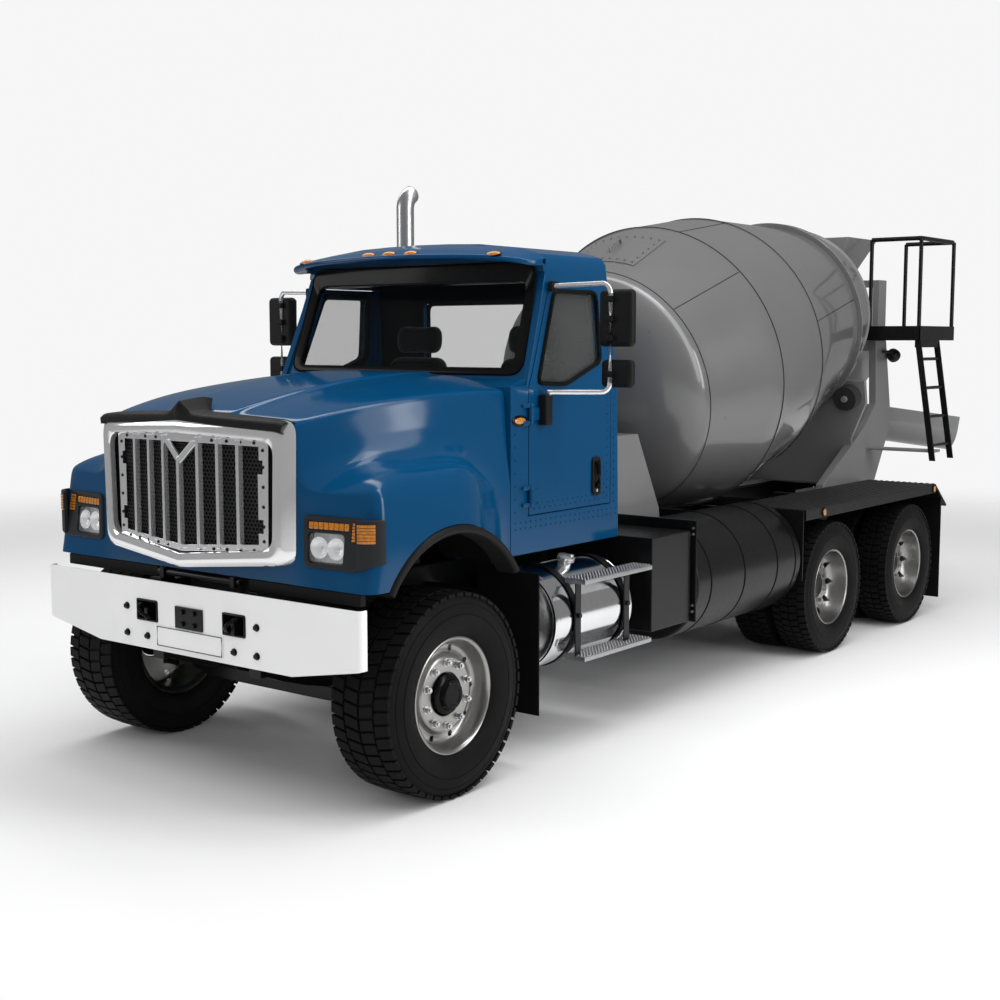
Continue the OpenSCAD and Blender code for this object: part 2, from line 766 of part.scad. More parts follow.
// Firewall, cowl top and the windshield's frame
module cab_front_wall() {
    block([-cab_x + cab_wall, cowl_y, cab_low + 60], [cab_x - cab_wall, cowl_y + cab_wall, belt_z]);
    side_plate(-cab_x + 20, cab_x - 20) polygon([[cowl_y, belt_z - cab_wall],
        [screen_base[0] + 40, belt_z - cab_wall], [screen_base[0] + 40, screen_base[1]],
        [screen_base[0] - 20, screen_base[1] + 8], [cowl_y, belt_z]]);
    difference() {
        intersection() {
            on_screen() block([-cab_x, -8, -10], [cab_x, cab_wall, screen_h + 20]);
            cross_plate(0, cab_rear) polygon([[-cab_x, cab_low], [cab_x, cab_low], [cab_x, belt_z],
                [eave_x, eave_z], [-eave_x, eave_z], [-cab_x, belt_z]]);
        }
        on_screen() translate([0, past, 0]) rotate([90, 0, 0]) translate([0, 0, -past])
            linear_extrude(4 * past) polygon(screen_outline);
    }
}

roof_front = screen_top[0] - 20;

module cab_roof() {
    difference() {
        cross_plate(roof_front, cab_rear - 75) polygon(roof_section);
        cross_plate(roof_front + cab_wall, cab_rear - 75 - cab_wall) polygon(roof_hollow);
    }
}

// Door hinges: a pin on the cab between two lugs, and a barrel on the door
hinge_zs = [door_low + 110, belt_z - 160];
barrel_h = 70;
barrel_r = 15;
lug_h = 24;
door_axis_y = door_front - aperture_gap / 2;
hinge_stand = barrel_r + 1;
door_axis_x = cab_x + hinge_stand;
hinge_sink = 5;

module door_hinge_pins() {
    for (z = hinge_zs) {
        translate([door_axis_x, door_axis_y, z - barrel_h / 2 - lug_h - 1]) {
            cylinder(r = door_pin_r, h = barrel_h + 2 * lug_h + 2);
            for (h = [0, barrel_h + lug_h + 2]) translate([0, 0, h]) {
                cylinder(r = barrel_r, h = lug_h);
                block([-hinge_stand - hinge_sink, -70, 0], [0, 0, lug_h]);
            }
        }
    }
}

module door(left) {
    color(blue) placed() on_side(left) difference() {
        union() {
            difference() {
                side_skin(door_outline, 0, cab_wall);
                side_plate(eave_x - cab_wall - past, cab_x + past) polygon(window);
            }
            for (z = hinge_zs) translate([door_axis_x, door_axis_y, z - barrel_h / 2]) {
                cylinder(r = barrel_r, h = barrel_h);
                block([-hinge_stand - hinge_sink, 0, 0], [0, 80, barrel_h]);
            }
        }
        for (z = hinge_zs) translate([door_axis_x, door_axis_y, z - barrel_h])
            cylinder(r = door_pin_r + seat_gap, h = 2 * barrel_h);
    }
}

module door_left() { door(true); }
module door_right() { door(false); }

module door_glass(left) {
    d = (cab_wall - glass_t) / 2;
    color(glass) placed() on_side(left) side_skin(inset(window, seat_gap), d, d + glass_t);
}

module door_glass_left() { door_glass(true); }
module door_glass_right() { door_glass(false); }

module cab_glass() {
    color(glass) placed() {
        on_screen() translate([0, 12 + glass_t, 0]) rotate([90, 0, 0]) linear_extrude(glass_t)
            polygon(inset(screen_outline, seat_gap));
        y = cab_rear - 25 - cab_wall;
        intersection() {
            side_plate(-600, 600) polygon([[y + 10, belt_z], [y + 10 + glass_t, belt_z],
                [y - 40 + glass_t, eave_z], [y - 40, eave_z]]);
            cross_plate(cab_rear - 300, cab_rear) polygon(inset(rear_glass, seat_gap));
        }
    }
}

// Sun visor over the windshield: a crowned blade that leans forwards, with drooping tips
visor_t = 34;
visor_lean = 11;
visor_tip_x = 963;
visor_half = [[visor_tip_x, 1080], [905, 985], [748, 925], [400, 880]];
visor_front = [0, 866];
visor_top = [[0, 0], [400, -12], [748, -42], [905, -80], [visor_tip_x, -112]];

module cab_visor() {
    back = roof_front - seat_gap;
    reach = back - visor_front[1] + past;
    last = len(visor_half) - 1;
    plan = concat([[visor_tip_x, back], [-visor_tip_x, back]], [for (p = visor_half) [-p[0], p[1]]],
        [visor_front], [for (i = [last:-1:0]) visor_half[i]]);
    over = concat([for (i = [last + 1:-1:1]) [-visor_top[i][0], visor_top[i][1]]], visor_top);
    section = concat(over, [for (i = [len(over) - 1:-1:0]) over[i] - [0, visor_t]]);
    color(blue) placed() intersection() {
        translate([0, back, roof_z]) rotate([visor_lean, 0, 0]) cross_plate(-reach, past) polygon(section);
        translate([0, 0, eave_z - 2 * past]) linear_extrude(roof_z - eave_z + 3 * past) polygon(plan);
    }
}

// Seats, dashboard and steering wheel
seat_x = 470;
seat_half = 250;
seat_y = 1290;
cushion_z = 1560;

module seats() {
    color(black) placed() for (s = [-1, 1]) translate([s * seat_x, seat_y, 0]) {
        block([-seat_half + 40, 0, floor_z + floor_t], [seat_half - 40, 380, cushion_z]);
        block([-seat_half, -60, cushion_z], [seat_half, 420, cushion_z + 120]);
        side_plate(-seat_half, seat_half) polygon([[330, cushion_z + 100], [436, cushion_z + 100],
            [476, cushion_z + 720], [372, cushion_z + 720]]);
        side_plate(-140, 140) polygon([[385, cushion_z + 700], [465, cushion_z + 700],
            [478, cushion_z + 915], [396, cushion_z + 915]]);
    }
}

wheel_centre = [seat_x, 1225, 1990];
wheel_r = 225;
wheel_tilt = 42;

module dashboard() {
    back = cowl_y + cab_wall;
    color(black) placed() {
        side_plate(-cab_x + cab_wall + 10, cab_x - cab_wall - 10) polygon([[back, 1600], [back + 90, 1600],
            [back + 230, 1850], [back + 230, 1990], [back + 150, belt_z - cab_wall],
            [back, belt_z - cab_wall]]);
        translate(wheel_centre) rotate([-wheel_tilt, 0, 0]) {
            rotate_extrude($fn = 72) translate([wheel_r - 16, 0]) circle(16, $fn = 24);
            cylinder(r = 62, h = 40, center = true);
            for (i = [0:3]) rotate([0, 0, 45 + 90 * i]) block([40, -18, -8], [wheel_r - 12, 18, 8]);
            translate([0, 0, -250]) cylinder(r = 32, h = 250);
        }
    }
}

// Hood
nose_round = 0.06;
swell_end = 0.52;
crest_rise = 0.28;
station_count = 14;

// Fullness of the fender along the hood: whole in front, gone at the cowl
function swell(t) = t < swell_end ? 1 : 0.5 + 0.5 * cos(180 * (t - swell_end) / (1 - swell_end));
function rising(t) = 1 - pow(1 - t, 2);
function nose_fade(t) = t < nose_round ? 1 - sqrt(1 - pow(1 - t / nose_round, 2)) : 0;

// Half section of the hood at the share t of its length: (x, z) from the middle to the lower edge
function half_section(t) =
    let (f = swell(t), n = nose_fade(t),
         zc = mix(nose_z, cowl_z, rising(t)),
         xs = mix(nose_x, cab_x - 45, rising(t)),
         zs = zc - mix(34, 92, t),
         k = 1 - pow(1 - min(1, t / crest_rise), 2),
         xk = xs + mix(135, 150, k) * mix(0.3, 1, f),
         zk = mix(1560, crest_z - 125 * (1 - k), f),
         xo = mix(cab_x, fender_x, f) - 70 * n,
         zo = mix(1430, crest_z - 110, f) - 45 * n,
         xb = xo + 32 * f)
    [[0, zc], [mix(430, 600, t), zc - 4], [xs - 40, zs + 14], [xs, zs - 26],
     [mix(xs, xk, mix(0.2, 0.4, t)), mix(zs, zk, mix(0.82, 0.6, t))], [xk, zk],
     [mix(xk, xo, 0.72), mix(zk, zo, 0.34)], [xo, zo],
     [xb, mix(zo, hood_low, 0.5)], [xb, hood_low]];

// Ring of points round the hood at t, drawn inwards by d and down to the height low
function ring_points(t, y, d, low) =
    let (h = half_section(t), n = len(h),
         right = [for (i = [0:n - 1]) [h[i][0] - (i == 0 ? 0 : d), y, i == n - 1 ? low : h[i][1] - d]])
    concat([for (i = [n - 1:-1:1]) [-right[i][0], right[i][1], right[i][2]]], right);

// Solid through all the stations, with its walls drawn inwards by d
module hood_form(d, low, front, rear) {
    rings = [for (i = [0:station_count - 1]) let (t = i / (station_count - 1))
        ring_points(t, mix(front, rear, t), d, low)];
    n = len(rings[0]);
    points = [for (r = rings) each r];
    skin = [for (s = [0:station_count - 2], i = [0:n - 1])
        let (j = (i + 1) % n, a = s * n + i, b = s * n + j, c = (s + 1) * n + j, e = (s + 1) * n + i)
        each [[a, c, b], [a, e, c]]];
    last = (station_count - 1) * n;
    front_cap = [for (k = [0:(n - 3) / 2]) each concat([[k, k + 1, n - 1 - k]],
        k + 1 < n - 2 - k ? [[k + 1, n - 2 - k, n - 1 - k]] : [])];
    rear_cap = [for (f = front_cap) [last + f[0], last + f[2], last + f[1]]];
    polyhedron(points, concat(skin, front_cap, rear_cap));
}

// Front of a fender, swept back the more the further out and the higher it is
sweep = 0.16;
sweep_x = 775;
sweep_h = 350;
sweep_xs = [sweep_x - 60, sweep_x, sweep_x + 300, sweep_x + 560];
sweep_zs = [hood_low - 60, hood_low, hood_low + sweep_h, hood_low + 2 * sweep_h];
function swept(x, z) = -hood_front
    + sweep * max(0, x - sweep_x) * min(1, max(0, (z - hood_low) / sweep_h));

// Everything ahead of the swept front, moved back by d
module ahead_of_sweep(d) {
    m = len(sweep_xs);
    n = len(sweep_zs);
    front = [for (z = sweep_zs, x = sweep_xs) [x, -hood_front - 3 * past, z]];
    back = [for (z = sweep_zs, x = sweep_xs) [x, swept(x, z) + d, z]];
    function at(layer, i, j) = layer * m * n + j * m + i;
    quads = concat(
        [for (i = [0:m - 2], j = [0:n - 2])
            [at(0, i, j), at(0, i, j + 1), at(0, i + 1, j + 1), at(0, i + 1, j)]],
        [for (i = [0:m - 2], j = [0:n - 2])
            [at(1, i, j), at(1, i + 1, j), at(1, i + 1, j + 1), at(1, i, j + 1)]],
        [for (i = [0:m - 2]) [at(0, i, 0), at(0, i + 1, 0), at(1, i + 1, 0), at(1, i, 0)]],
        [for (i = [0:m - 2]) [at(0, i, n - 1), at(1, i, n - 1), at(1, i + 1, n - 1), at(0, i + 1, n - 1)]],
        [for (j = [0:n - 2]) [at(0, 0, j), at(1, 0, j), at(1, 0, j + 1), at(0, 0, j + 1)]],
        [for (j = [0:n - 2]) [at(0, m - 1, j), at(0, m - 1, j + 1), at(1, m - 1, j + 1), at(1, m - 1, j)]]);
    polyhedron(concat(front, back), [for (q = quads) each [[q[0], q[1], q[2]], [q[0], q[2], q[3]]]]);
}

arch_y = 34;
arch_z = hood_low + 280 - arch_r;
arch_in_x = 640;
grille_half_low = 690;
grille_half_top = 705;
grille_low = 1262;
grille_top = 1925;
grille_v = 62;
lamp_low = 1250;
lamp_top = 1512;
lamp_in_x = 792;

// Outline of the grille in (x, z), drawn inwards by d
grille_outline = [[0, grille_low - grille_v], [grille_half_low, grille_low], [grille_half_top, grille_top],
    [0, grille_top + 30], [-grille_half_top, grille_top], [-grille_half_low, grille_low]];
surround_w = 62;

module hood() {
    color(blue) placed() difference() {
        hood_form(0, hood_low, -hood_front, hood_rear);
        difference() {
            hood_form(hood_wall, hood_low - past, -hood_front + hood_wall, hood_rear + past);
            both_sides() ahead_of_sweep(hood_wall);
        }
        both_sides() {
            ahead_of_sweep(0);
            cross_bar(arch_in_x, fender_x + 200, arch_y, arch_z, arch_r);
            lamp_solid(seat_gap);
        }
        cross_plate(-hood_front - past, -hood_front + hood_wall + past)
            polygon(inset(grille_outline, surround_w));
    }
}

// Black lips round the wheel arches
flare_w = 52;
flare_in_x = 1120;

module arch_flares() {
    color(black) placed() both_sides() difference() {
        cross_bar(flare_in_x, fender_x + 48, arch_y, arch_z, arch_r - seat_gap);
        cross_bar(flare_in_x - past, fender_x + 48 + past, arch_y, arch_z, arch_r - flare_w);
        block([0, -2000, -1000], [2000, 2000, hood_low]);
    }
}

// Hinge lugs and the crossbar that ties them to the inside of the nose
module hood_hinge() {
    bar_y = -hood_front + hood_wall;
    lug_x = hinge_ear_x - run_gap - 30;
    color(black) placed() {
        block([-nose_x + 80, bar_y, hood_low + 20], [nose_x - 80, bar_y + 26, hood_low + 66]);
        both_sides() difference() {
            side_plate(lug_x, lug_x + 30) polygon([[-hood_hinge_front - 30, hood_hinge_z - 32],
                [-hood_hinge_front + 34, hood_hinge_z - 32], [bar_y + 26, hood_low + 66],
                [bar_y, hood_low + 66], [bar_y, hood_low - 2], [-hood_hinge_front - 30, hood_low - 2]]);
            cross_bar(lug_x - past, lug_x + past + 30, -hood_hinge_front, hood_hinge_z,
                hood_hinge_r + seat_gap);
        }
    }
}

// Grille
prow = 80;
surround_t = 26;
insert_t = 8;
bar_count = 7;
bar_w = 26;

// Space behind the grille's bowed face, which stands t ahead of the hood at its sides
module behind_prow(t) {
    y = -hood_front;
    translate([0, 0, grille_low - 2 * grille_v]) linear_extrude(grille_top - grille_low + 4 * grille_v)
        polygon([[-nose_x, y - seat_gap], [-nose_x, y - t], [0, y - t - prow], [nose_x, y - t],
            [nose_x, y - seat_gap]]);
}

module grille_surround() {
    color(silver) placed() difference() {
        intersection() {
            cross_plate(-hood_front - 2 * prow, -hood_front) polygon(grille_outline);
            behind_prow(surround_t);
        }
        cross_plate(-hood_front - 3 * prow, past - hood_front)
            polygon(inset(grille_outline, surround_w));
    }
}

module grille_insert() {
    inner = inset(grille_outline, surround_w + seat_gap);
    color(black) placed() {
        intersection() {
            cross_plate(-hood_front - 2 * prow, -hood_front) polygon(inner);
            behind_prow(insert_t);
        }
        intersection() {
            for (i = [0:bar_count - 1]) {
                x = mix(-540, 540, i / (bar_count - 1));
                block([x - bar_w / 2, -hood_front - 2 * prow, grille_low - grille_v],
                    [x + bar_w / 2, -hood_front - seat_gap, grille_top + 30]);
            }
            cross_plate(-hood_front - 2 * prow, 0) polygon(inset(inner, 50));
            behind_prow(surround_t - 4);
        }
    }
}

// Headlamp block in the swept front of a fender, drawn outwards by d
lamp_out_x = fender_x - 52;
lamp_proud = 8;
lamp_deep = 70;

module lamp_solid(d) {
    difference() {
        intersection() {
            block([lamp_in_x - d, -hood_front - 2 * past, lamp_low - d],
                [lamp_out_x + d, hood_rear, lamp_top + d]);
            ahead_of_sweep(lamp_deep + d);
        }
        ahead_of_sweep(-lamp_proud - d);
    }
}

module headlamps() {
    color(black) placed() both_sides() lamp_solid(0);
}

// Mirrors on the doors
mirror_x = 1334;
mirror_y = 1290;
mirror_top = 2690;
bracket_low = mirror_top - 44;
tube_r = 14;

module mirror_post(left) {
    color(black) placed() on_side(left) {
        bar([mirror_x, mirror_y, 2075], [mirror_x, mirror_y, mirror_top], tube_r);
        cross_plate(mirror_y - 24, mirror_y + 24) polygon([[side_at(bracket_low) + seat_gap, bracket_low],
            [cab_x + 10, bracket_low], [cab_x + 10, mirror_top],
            [side_at(mirror_top) + seat_gap, mirror_top]]);
        bar([cab_x - 20, mirror_y, mirror_top - 22], [mirror_x, mirror_y, mirror_top], tube_r);
        bar([cab_x + 40, 1075, 2050], [mirror_x, mirror_y, 2075], tube_r);
        sphere_at([mirror_x, mirror_y, mirror_top]);
        sphere_at([mirror_x, mirror_y, 2075]);
        block([cab_x + seat_gap, 1050, 1880], [cab_x + 62, 1122, 2075]);
        block([1245, mirror_y + 4, 2330], [1472, mirror_y + 78, 2655]);
        block([1270, mirror_y + 4, 2100], [1472, mirror_y + 70, 2255]);
    }
}

// Rounded corner of the mirror tube
module sphere_at(p) {
    translate(p) sphere(r = tube_r + 3, $fn = 24);
}

module mirror_left() { mirror_post(true); }
module mirror_right() { mirror_post(false); }

// Tanks
fuel_y = 1010;
fuel_z = 745;
water_len = deck_front - water_gap - water_y;
water_x = step_x - water_r;
water_z = 780;
strap_t = 7;
strap_w = 56;
box_y = 1950;
guard_gap = 20;
guard_t = 12;
guard_y = water_y - guard_t - 18;

module fuel_tanks() {
    color(silver) placed() both_sides() long_bar(fuel_y, fuel_y + fuel_len, fuel_x, fuel_z, fuel_r);
}

module water_tanks() {
    color(black) placed() both_sides() {
        long_bar(water_y, water_y + water_len, water_x, water_z, water_r);
        block([rail_x, water_y, water_z - 190], [water_x, water_y + water_len, water_z + 190]);
    }
}

// Straps round the fuel tanks, their arms on the rails, the battery box and the plate behind it
module tank_brackets() {
    color(black) placed() both_sides() {
        for (y = [step_front, fuel_y + fuel_len - 60 - strap_w]) difference() {
            union() {
                long_bar(y, y + strap_w, fuel_x, fuel_z, fuel_r + strap_t);
                block([rail_x, y, fuel_z - 120], [fuel_x, y + strap_w, fuel_z + 200]);
            }
            long_bar(y - past, y + strap_w + past, fuel_x, fuel_z, fuel_r + seat_gap);
        }
        difference() {
            union() {
                block([rail_x, box_y, 560], [step_x - 30, guard_y - guard_gap, 1150]);
                block([rail_x, guard_y, 550], [step_x, guard_y + guard_t, 1215]);
                block([rail_x, guard_y - guard_gap, 700], [rail_x + 100, guard_y, 1000]);
            }
            block([0, box_y - past, rail_top - 2], [pedestal_x + 2, water_y, 1300]);
        }
    }
}

// Steps
step_t = 34;
hang_t = 9;
step_zs = [965, 512];
step_front = 1175;
step_rear = 1905;

module steps() {
    hang_x = fuel_x + fuel_r + strap_t + seat_gap;
    color(silver) placed() both_sides() {
        for (z = step_zs)
            block([step_x - step_w, step_front, z], [step_x, step_rear, z + step_t]);
        for (y = [step_front, fuel_y + fuel_len - 60 - strap_w])
            block([hang_x, y, step_zs[1]], [hang_x + hang_t, y + strap_w, step_zs[0] + step_t]);
    }
}

// Exhaust
stack_x = -1010;
stack_y = 2200;
stack_low = 1150;
stack_top = 3290;
tip_r = 120;
tip_turn = 66;

module exhaust_stack() {
    color(silver) placed() {
        translate([stack_x, stack_y, stack_low]) cylinder(r = stack_r, h = stack_top - stack_low);
        translate([0, stack_y + tip_r, stack_top]) intersection() {
            translate([stack_x, 0, 0]) rotate([90, 0, 90]) rotate_extrude()
                translate([tip_r, 0]) circle(stack_r);
            side_plate(stack_x - 2 * stack_r, stack_x + 2 * stack_r) polygon([[0, 0], [-3 * tip_r, 0],
                [-3 * tip_r, 4 * tip_r], [-4 * tip_r * cos(tip_turn), 4 * tip_r * sin(tip_turn)]]);
        }
    }
}

// Mudflaps
flap_t = 12;
flap_y = 710;

module mudflaps() {
    color(black) placed() both_sides() {
        block([830, flap_y, 290], [1258, flap_y + flap_t, 1090]);
        block([rail_x, flap_y, 900], [830, flap_y + 40, 960]);
        block([660, deck_rear + 170, 120], [1250, deck_rear + 170 + flap_t, 940]);
    }
}

// Decks over the rear wheels
deck_x = 1262;
deck_in_x = 640;
deck_z = 1135;
deck_t = 22;
skirt_h = 76;

module rear_decks() {
    color(black) placed() both_sides() {
        block([deck_in_x, deck_front, deck_z - deck_t], [deck_x, deck_rear, deck_z]);
        block([deck_x - 14, deck_front, deck_z - skirt_h], [deck_x, deck_rear, deck_z]);
        side_plate(deck_in_x, deck_x) polygon([[deck_rear, deck_z], [deck_rear, deck_z - deck_t],
            [deck_rear + 255, 920], [deck_rear + 272, 932]]);
        block([660, deck_rear + 160, 915], [1250, deck_rear + 170, 995]);
        for (y = [deck_front, rear_axle_1 + tandem / 2 - 40])
            block([rail_x - 60, y, rail_top], [deck_x - 14, y + 60, deck_z - deck_t]);
        block([leg_x, deck_rear - 90, rail_top], [deck_x - 14, deck_rear - 30, deck_z - deck_t]);
    }
}

module tail_lamps() {
    color("darkred") placed() both_sides()
        block([250, rail_rear + cross_t, rail_top - 190],
            [rail_x - 10, rail_rear + cross_t + 34, rail_top - 90]);
}

// Drum
drum_y = 4040;
drum_z = 2160;
front_seam = -824;
max_seam = -114;
third_seam = 624;
lip_seam = 2288;
head_depth = 350;
ring_at = 1900;
ring_w = 110;

// A shape in the drum's frame: z runs up the drum's axis, from the nose towards the mouth
module in_drum() {
    translate([0, drum_y, drum_z]) rotate([-90 + drum_tilt, 0, 0]) children();
}

// Radius of the drum at t along its axis, behind the front seam
function drum_radius(t) =
    t < max_seam ? mix(drum_r_front, drum_r_max, (t - front_seam) / (max_seam - front_seam))
    : t < third_seam ? mix(drum_r_max, drum_r_third, (t - max_seam) / (third_seam - max_seam))
    : mix(drum_r_third, drum_r_lip, (t - third_seam) / (lip_seam - third_seam));

// Dished head, as a curve from the rim to the middle
function head_curve(d) = [for (i = [0:6]) let (a = 90 * i / 6)
    [max(0, (drum_r_front - d) * pow(cos(a), 0.8)), front_seam - (head_depth - d) * sin(a)]];

module drum() {
    outside = concat([[drum_r_lip, lip_seam], [drum_r_third, third_seam], [drum_r_max, max_seam]],
        head_curve(0));
    w = drum_wall;
    inside = concat([[drum_r_lip - w, lip_seam + past], [drum_r_lip - w, lip_seam],
        [drum_r_third - w, third_seam], [drum_r_max - w, max_seam]], head_curve(w), [[0, lip_seam + past]]);
    color(grey) placed() in_drum() {
        difference() {
            rotate_extrude($fn = 128) polygon(concat(outside, [[0, lip_seam]]));
            rotate_extrude($fn = 128) polygon(inside);
        }
        difference() {
            translate([0, 0, ring_at - ring_w / 2]) cylinder(r = ring_out, h = ring_w, $fn = 128);
            translate([0, 0, ring_at - ring_w / 2 - past])
                cylinder(r = drum_radius(ring_at + ring_w / 2) - 4, h = ring_w + 2 * past, $fn = 128);
        }
        translate([0, 0, shaft_end]) cylinder(r = drum_shaft_r, h = shaft_len + drum_wall);
    }
}

ring_out = drum_radius(ring_at) + ring_h;
shaft_len = 190;
shaft_end = front_seam - head_depth - shaft_len;
roller_angle = 43;
roller_w = 120;
roller_pin_r = 28;
roller_orbit = ring_out + roller_r + seat_gap;

roller_spot = [roller_orbit * sin(roller_angle), roller_orbit * cos(roller_angle), ring_at];

module drum_roller(side) {
    color(black) placed() in_drum() translate([side * roller_spot[0], roller_spot[1], ring_at - roller_w / 2])
        difference() {
            cylinder(r = roller_r, h = roller_w);
            translate([0, 0, -past]) cylinder(r = roller_pin_r + seat_gap, h = roller_w + 2 * past);
        }
}

module drum_roller_left() { drum_roller(1); }
module drum_roller_right() { drum_roller(-1); }

// Front pedestal and drive
pedestal_x = 550;
pedestal_t = 30;
gear_r = 230;
drive_back = front_seam - head_depth - 40;
drive_len = 330;
drive_front = drive_back - drive_len;

// Height of the drum's axis above a place along the truck
function axis_z(y) = drum_z + (y - drum_y) * tan(drum_tilt);

motor_len = 170;

module front_pedestal() {
    seat_y = drum_y + (drive_back - 60) * cos(drum_tilt);
    seat_z = axis_z(seat_y) - gear_r / cos(drum_tilt) + 60;
    outline = [[2080, rail_top], [3140, rail_top], [3120, rail_top + 130], [seat_y + 40, seat_z],
        [seat_y - 330, seat_z], [2100, rail_top + 180]];
    color(grey) placed() difference() {
        union() {
            both_sides() {
                side_plate(pedestal_x - pedestal_t, pedestal_x) polygon(outline);
                block([rail_x - rail_flange, 2080, rail_top], [pedestal_x, 3140, rail_top + sub_t]);
            }
            block([-pedestal_x, seat_y - 330, seat_z - 60], [pedestal_x, seat_y + 40, seat_z]);
        }
        in_drum() translate([0, 0, drive_front - past])
            cylinder(r = gear_r + seat_gap, h = drive_len + 2 * past);
        in_drum() translate([0, 0, drive_front - motor_len - past])
            cylinder(r = gear_r * 0.55 + seat_gap, h = motor_len + 2 * past);
        in_drum() translate([0, 0, drive_back + 10]) cylinder(r = drum_shaft_r + 200, h = 500);
    }
}

module drum_drive() {
    color(grey) placed() in_drum() difference() {
        union() {
            translate([0, 0, drive_front]) cylinder(r = gear_r, h = drive_len);
            translate([0, 0, drive_front - motor_len]) cylinder(r = gear_r * 0.55, h = motor_len);
        }
        translate([0, 0, shaft_end - run_gap])
            cylinder(r = drum_shaft_r + seat_gap, h = shaft_len + 2 * past);
    }
}

// Rear pedestal: two leaning legs, the web that carries the rollers, and the chute's pivot post
leg_x = 600;
leg_t = 70;
leg_top = 2365;
web_at = ring_at + roller_w / 2 + 40;
web_t = 40;
pivot_r = 45;
pivot_low = 1280;
yoke_h = 130;

module rear_pedestal() {
    leg = [[5690, rail_top], [6720, rail_top], [7050, 1560], [7060, 1760], [6930, leg_top], [6700, leg_top],
        [6740, 1800], [6560, 1640], [5690, rail_top + 90]];
    color(grey) placed() {
        both_sides() {
            side_plate(leg_x - leg_t, leg_x) polygon(leg);
            block([rail_x - rail_flange, 5690, rail_top], [leg_x - leg_t, 6720, rail_top + sub_t]);
            roller_pin();
        }
        roller_web();
        block([-leg_x, 6720, leg_top - 90], [leg_x, 6920, leg_top]);
        chute_post();
        ladder_arm();
    }
}

module roller_pin() {
    in_drum() translate([roller_spot[0], roller_spot[1], ring_at - roller_w / 2 - 20])
        cylinder(r = roller_pin_r, h = web_at - ring_at + roller_w / 2 + 30);
}

// Cross web with a round cut-out for the drum
module roller_web() {
    difference() {
        in_drum() translate([0, 0, web_at]) linear_extrude(web_t) polygon([[-760, 560], [760, 560],
            [760, 760], [leg_x, 1080], [leg_x, 1500], [-leg_x, 1500], [-leg_x, 1080], [-760, 760]]);
        in_drum() translate([0, 0, web_at - past])
            cylinder(r = drum_radius(web_at - past) + 45, h = web_t + 2 * past, $fn = 128);
        block([-2000, 4000, 0], [2000, 8000, rail_top]);
    }
}

module chute_post() {
    side_plate(-90, 90) polygon([[6600, rail_top], [6900, rail_top], [chute_pivot_y + 70, pivot_low - 60],
        [chute_pivot_y + 70, pivot_low], [chute_pivot_y - 90, pivot_low], [6600, rail_top + 90]]);
    translate([0, chute_pivot_y, pivot_low - 20]) cylinder(r = pivot_r, h = yoke_h + 40);
    block([-leg_x, 6600, rail_top], [leg_x, 6700, rail_top + 60]);
}

ladder_foot_x = 1195;
ladder_y0 = 6520;
ladder_y1 = 6940;
stringer_w = 50;
stringer_t = 18;

module ladder_arm() {
    y = ladder_y0 + stringer_t / 2 + seat_gap;
    block([leg_x, y, 1400], [ladder_foot_x + stringer_w - 10, y + 130, 1424]);
}

// Hopper over the drum's mouth
hopper_z = 3270;
hopper_low = 2760;
hopper_wall = 10;

// Four-sided funnel between two levels
module funnel(low_box, high_box, z0, z1) {
    polyhedron([[low_box[0], low_box[2], z0], [low_box[1], low_box[2], z0], [low_box[1], low_box[3], z0],
        [low_box[0], low_box[3], z0], [high_box[0], high_box[2], z1], [high_box[1], high_box[2], z1],
        [high_box[1], high_box[3], z1], [high_box[0], high_box[3], z1]],
        [[0, 1, 2, 3], [4, 7, 6, 5], [0, 4, 5, 1], [1, 5, 6, 2], [2, 6, 7, 3], [3, 7, 4, 0]]);
}

module charge_hopper() {
    color(grey) placed() {
        difference() {
            funnel([-210, 210, 6470, 6760], [-430, 430, 6440, 7060], hopper_low, hopper_z);
            funnel([-200, 200, 6480, 6750], [-420, 420, 6450, 7050], hopper_low - 1, hopper_z + 1);
        }
        both_sides() {
            block([leg_x - 60, 6740, leg_top], [leg_x, 6900, 2900]);
            block([262, 6740, 2840], [leg_x, 6900, 2900]);
        }
    }
}

module collector() {
    color(grey) placed() difference() {
        funnel([-190, 190, 6960, 7280], [-470, 470, 6480, 7290], 1885, leg_top - 90);
        funnel([-180, 180, 6970, 7270], [-460, 460, 6490, 7280], 1884, leg_top - 89);
    }
}

// Work platform and its handrail
plat_x0 = leg_x;
plat_x1 = 1095;
plat_y0 = 6470;
plat_y1 = 7270;
post_r = 17;

module platform() {
    posts = [[plat_x0 + 30, plat_y0 + 20], [plat_x1 - 20, plat_y0 + 20], [plat_x1 - 20, plat_y1 - 20],
        [plat_x0 + 30, plat_y1 - 20]];
    color(black) placed() {
        difference() {
            block([plat_x0 - 60, plat_y0, leg_top + seat_gap], [plat_x1, plat_y1, platform_z]);
            block([leg_x - 60 - past, 6740 - seat_gap, leg_top],
                [leg_x + seat_gap, 6900 + seat_gap, platform_z + past]);
        }
        for (p = posts) translate([p[0], p[1], platform_z]) cylinder(r = post_r, h = handrail_z - platform_z);
        for (i = [0:3]) bar(concat(posts[i], handrail_z), concat(posts[(i + 1) % 4], handrail_z), post_r);
        for (p = posts) translate([p[0], p[1], handrail_z]) sphere(r = post_r + 3);
    }
}

// Ladder from the platform to the arm
rung_count = 4;
ladder_low = 1330;
ladder_top = leg_top;

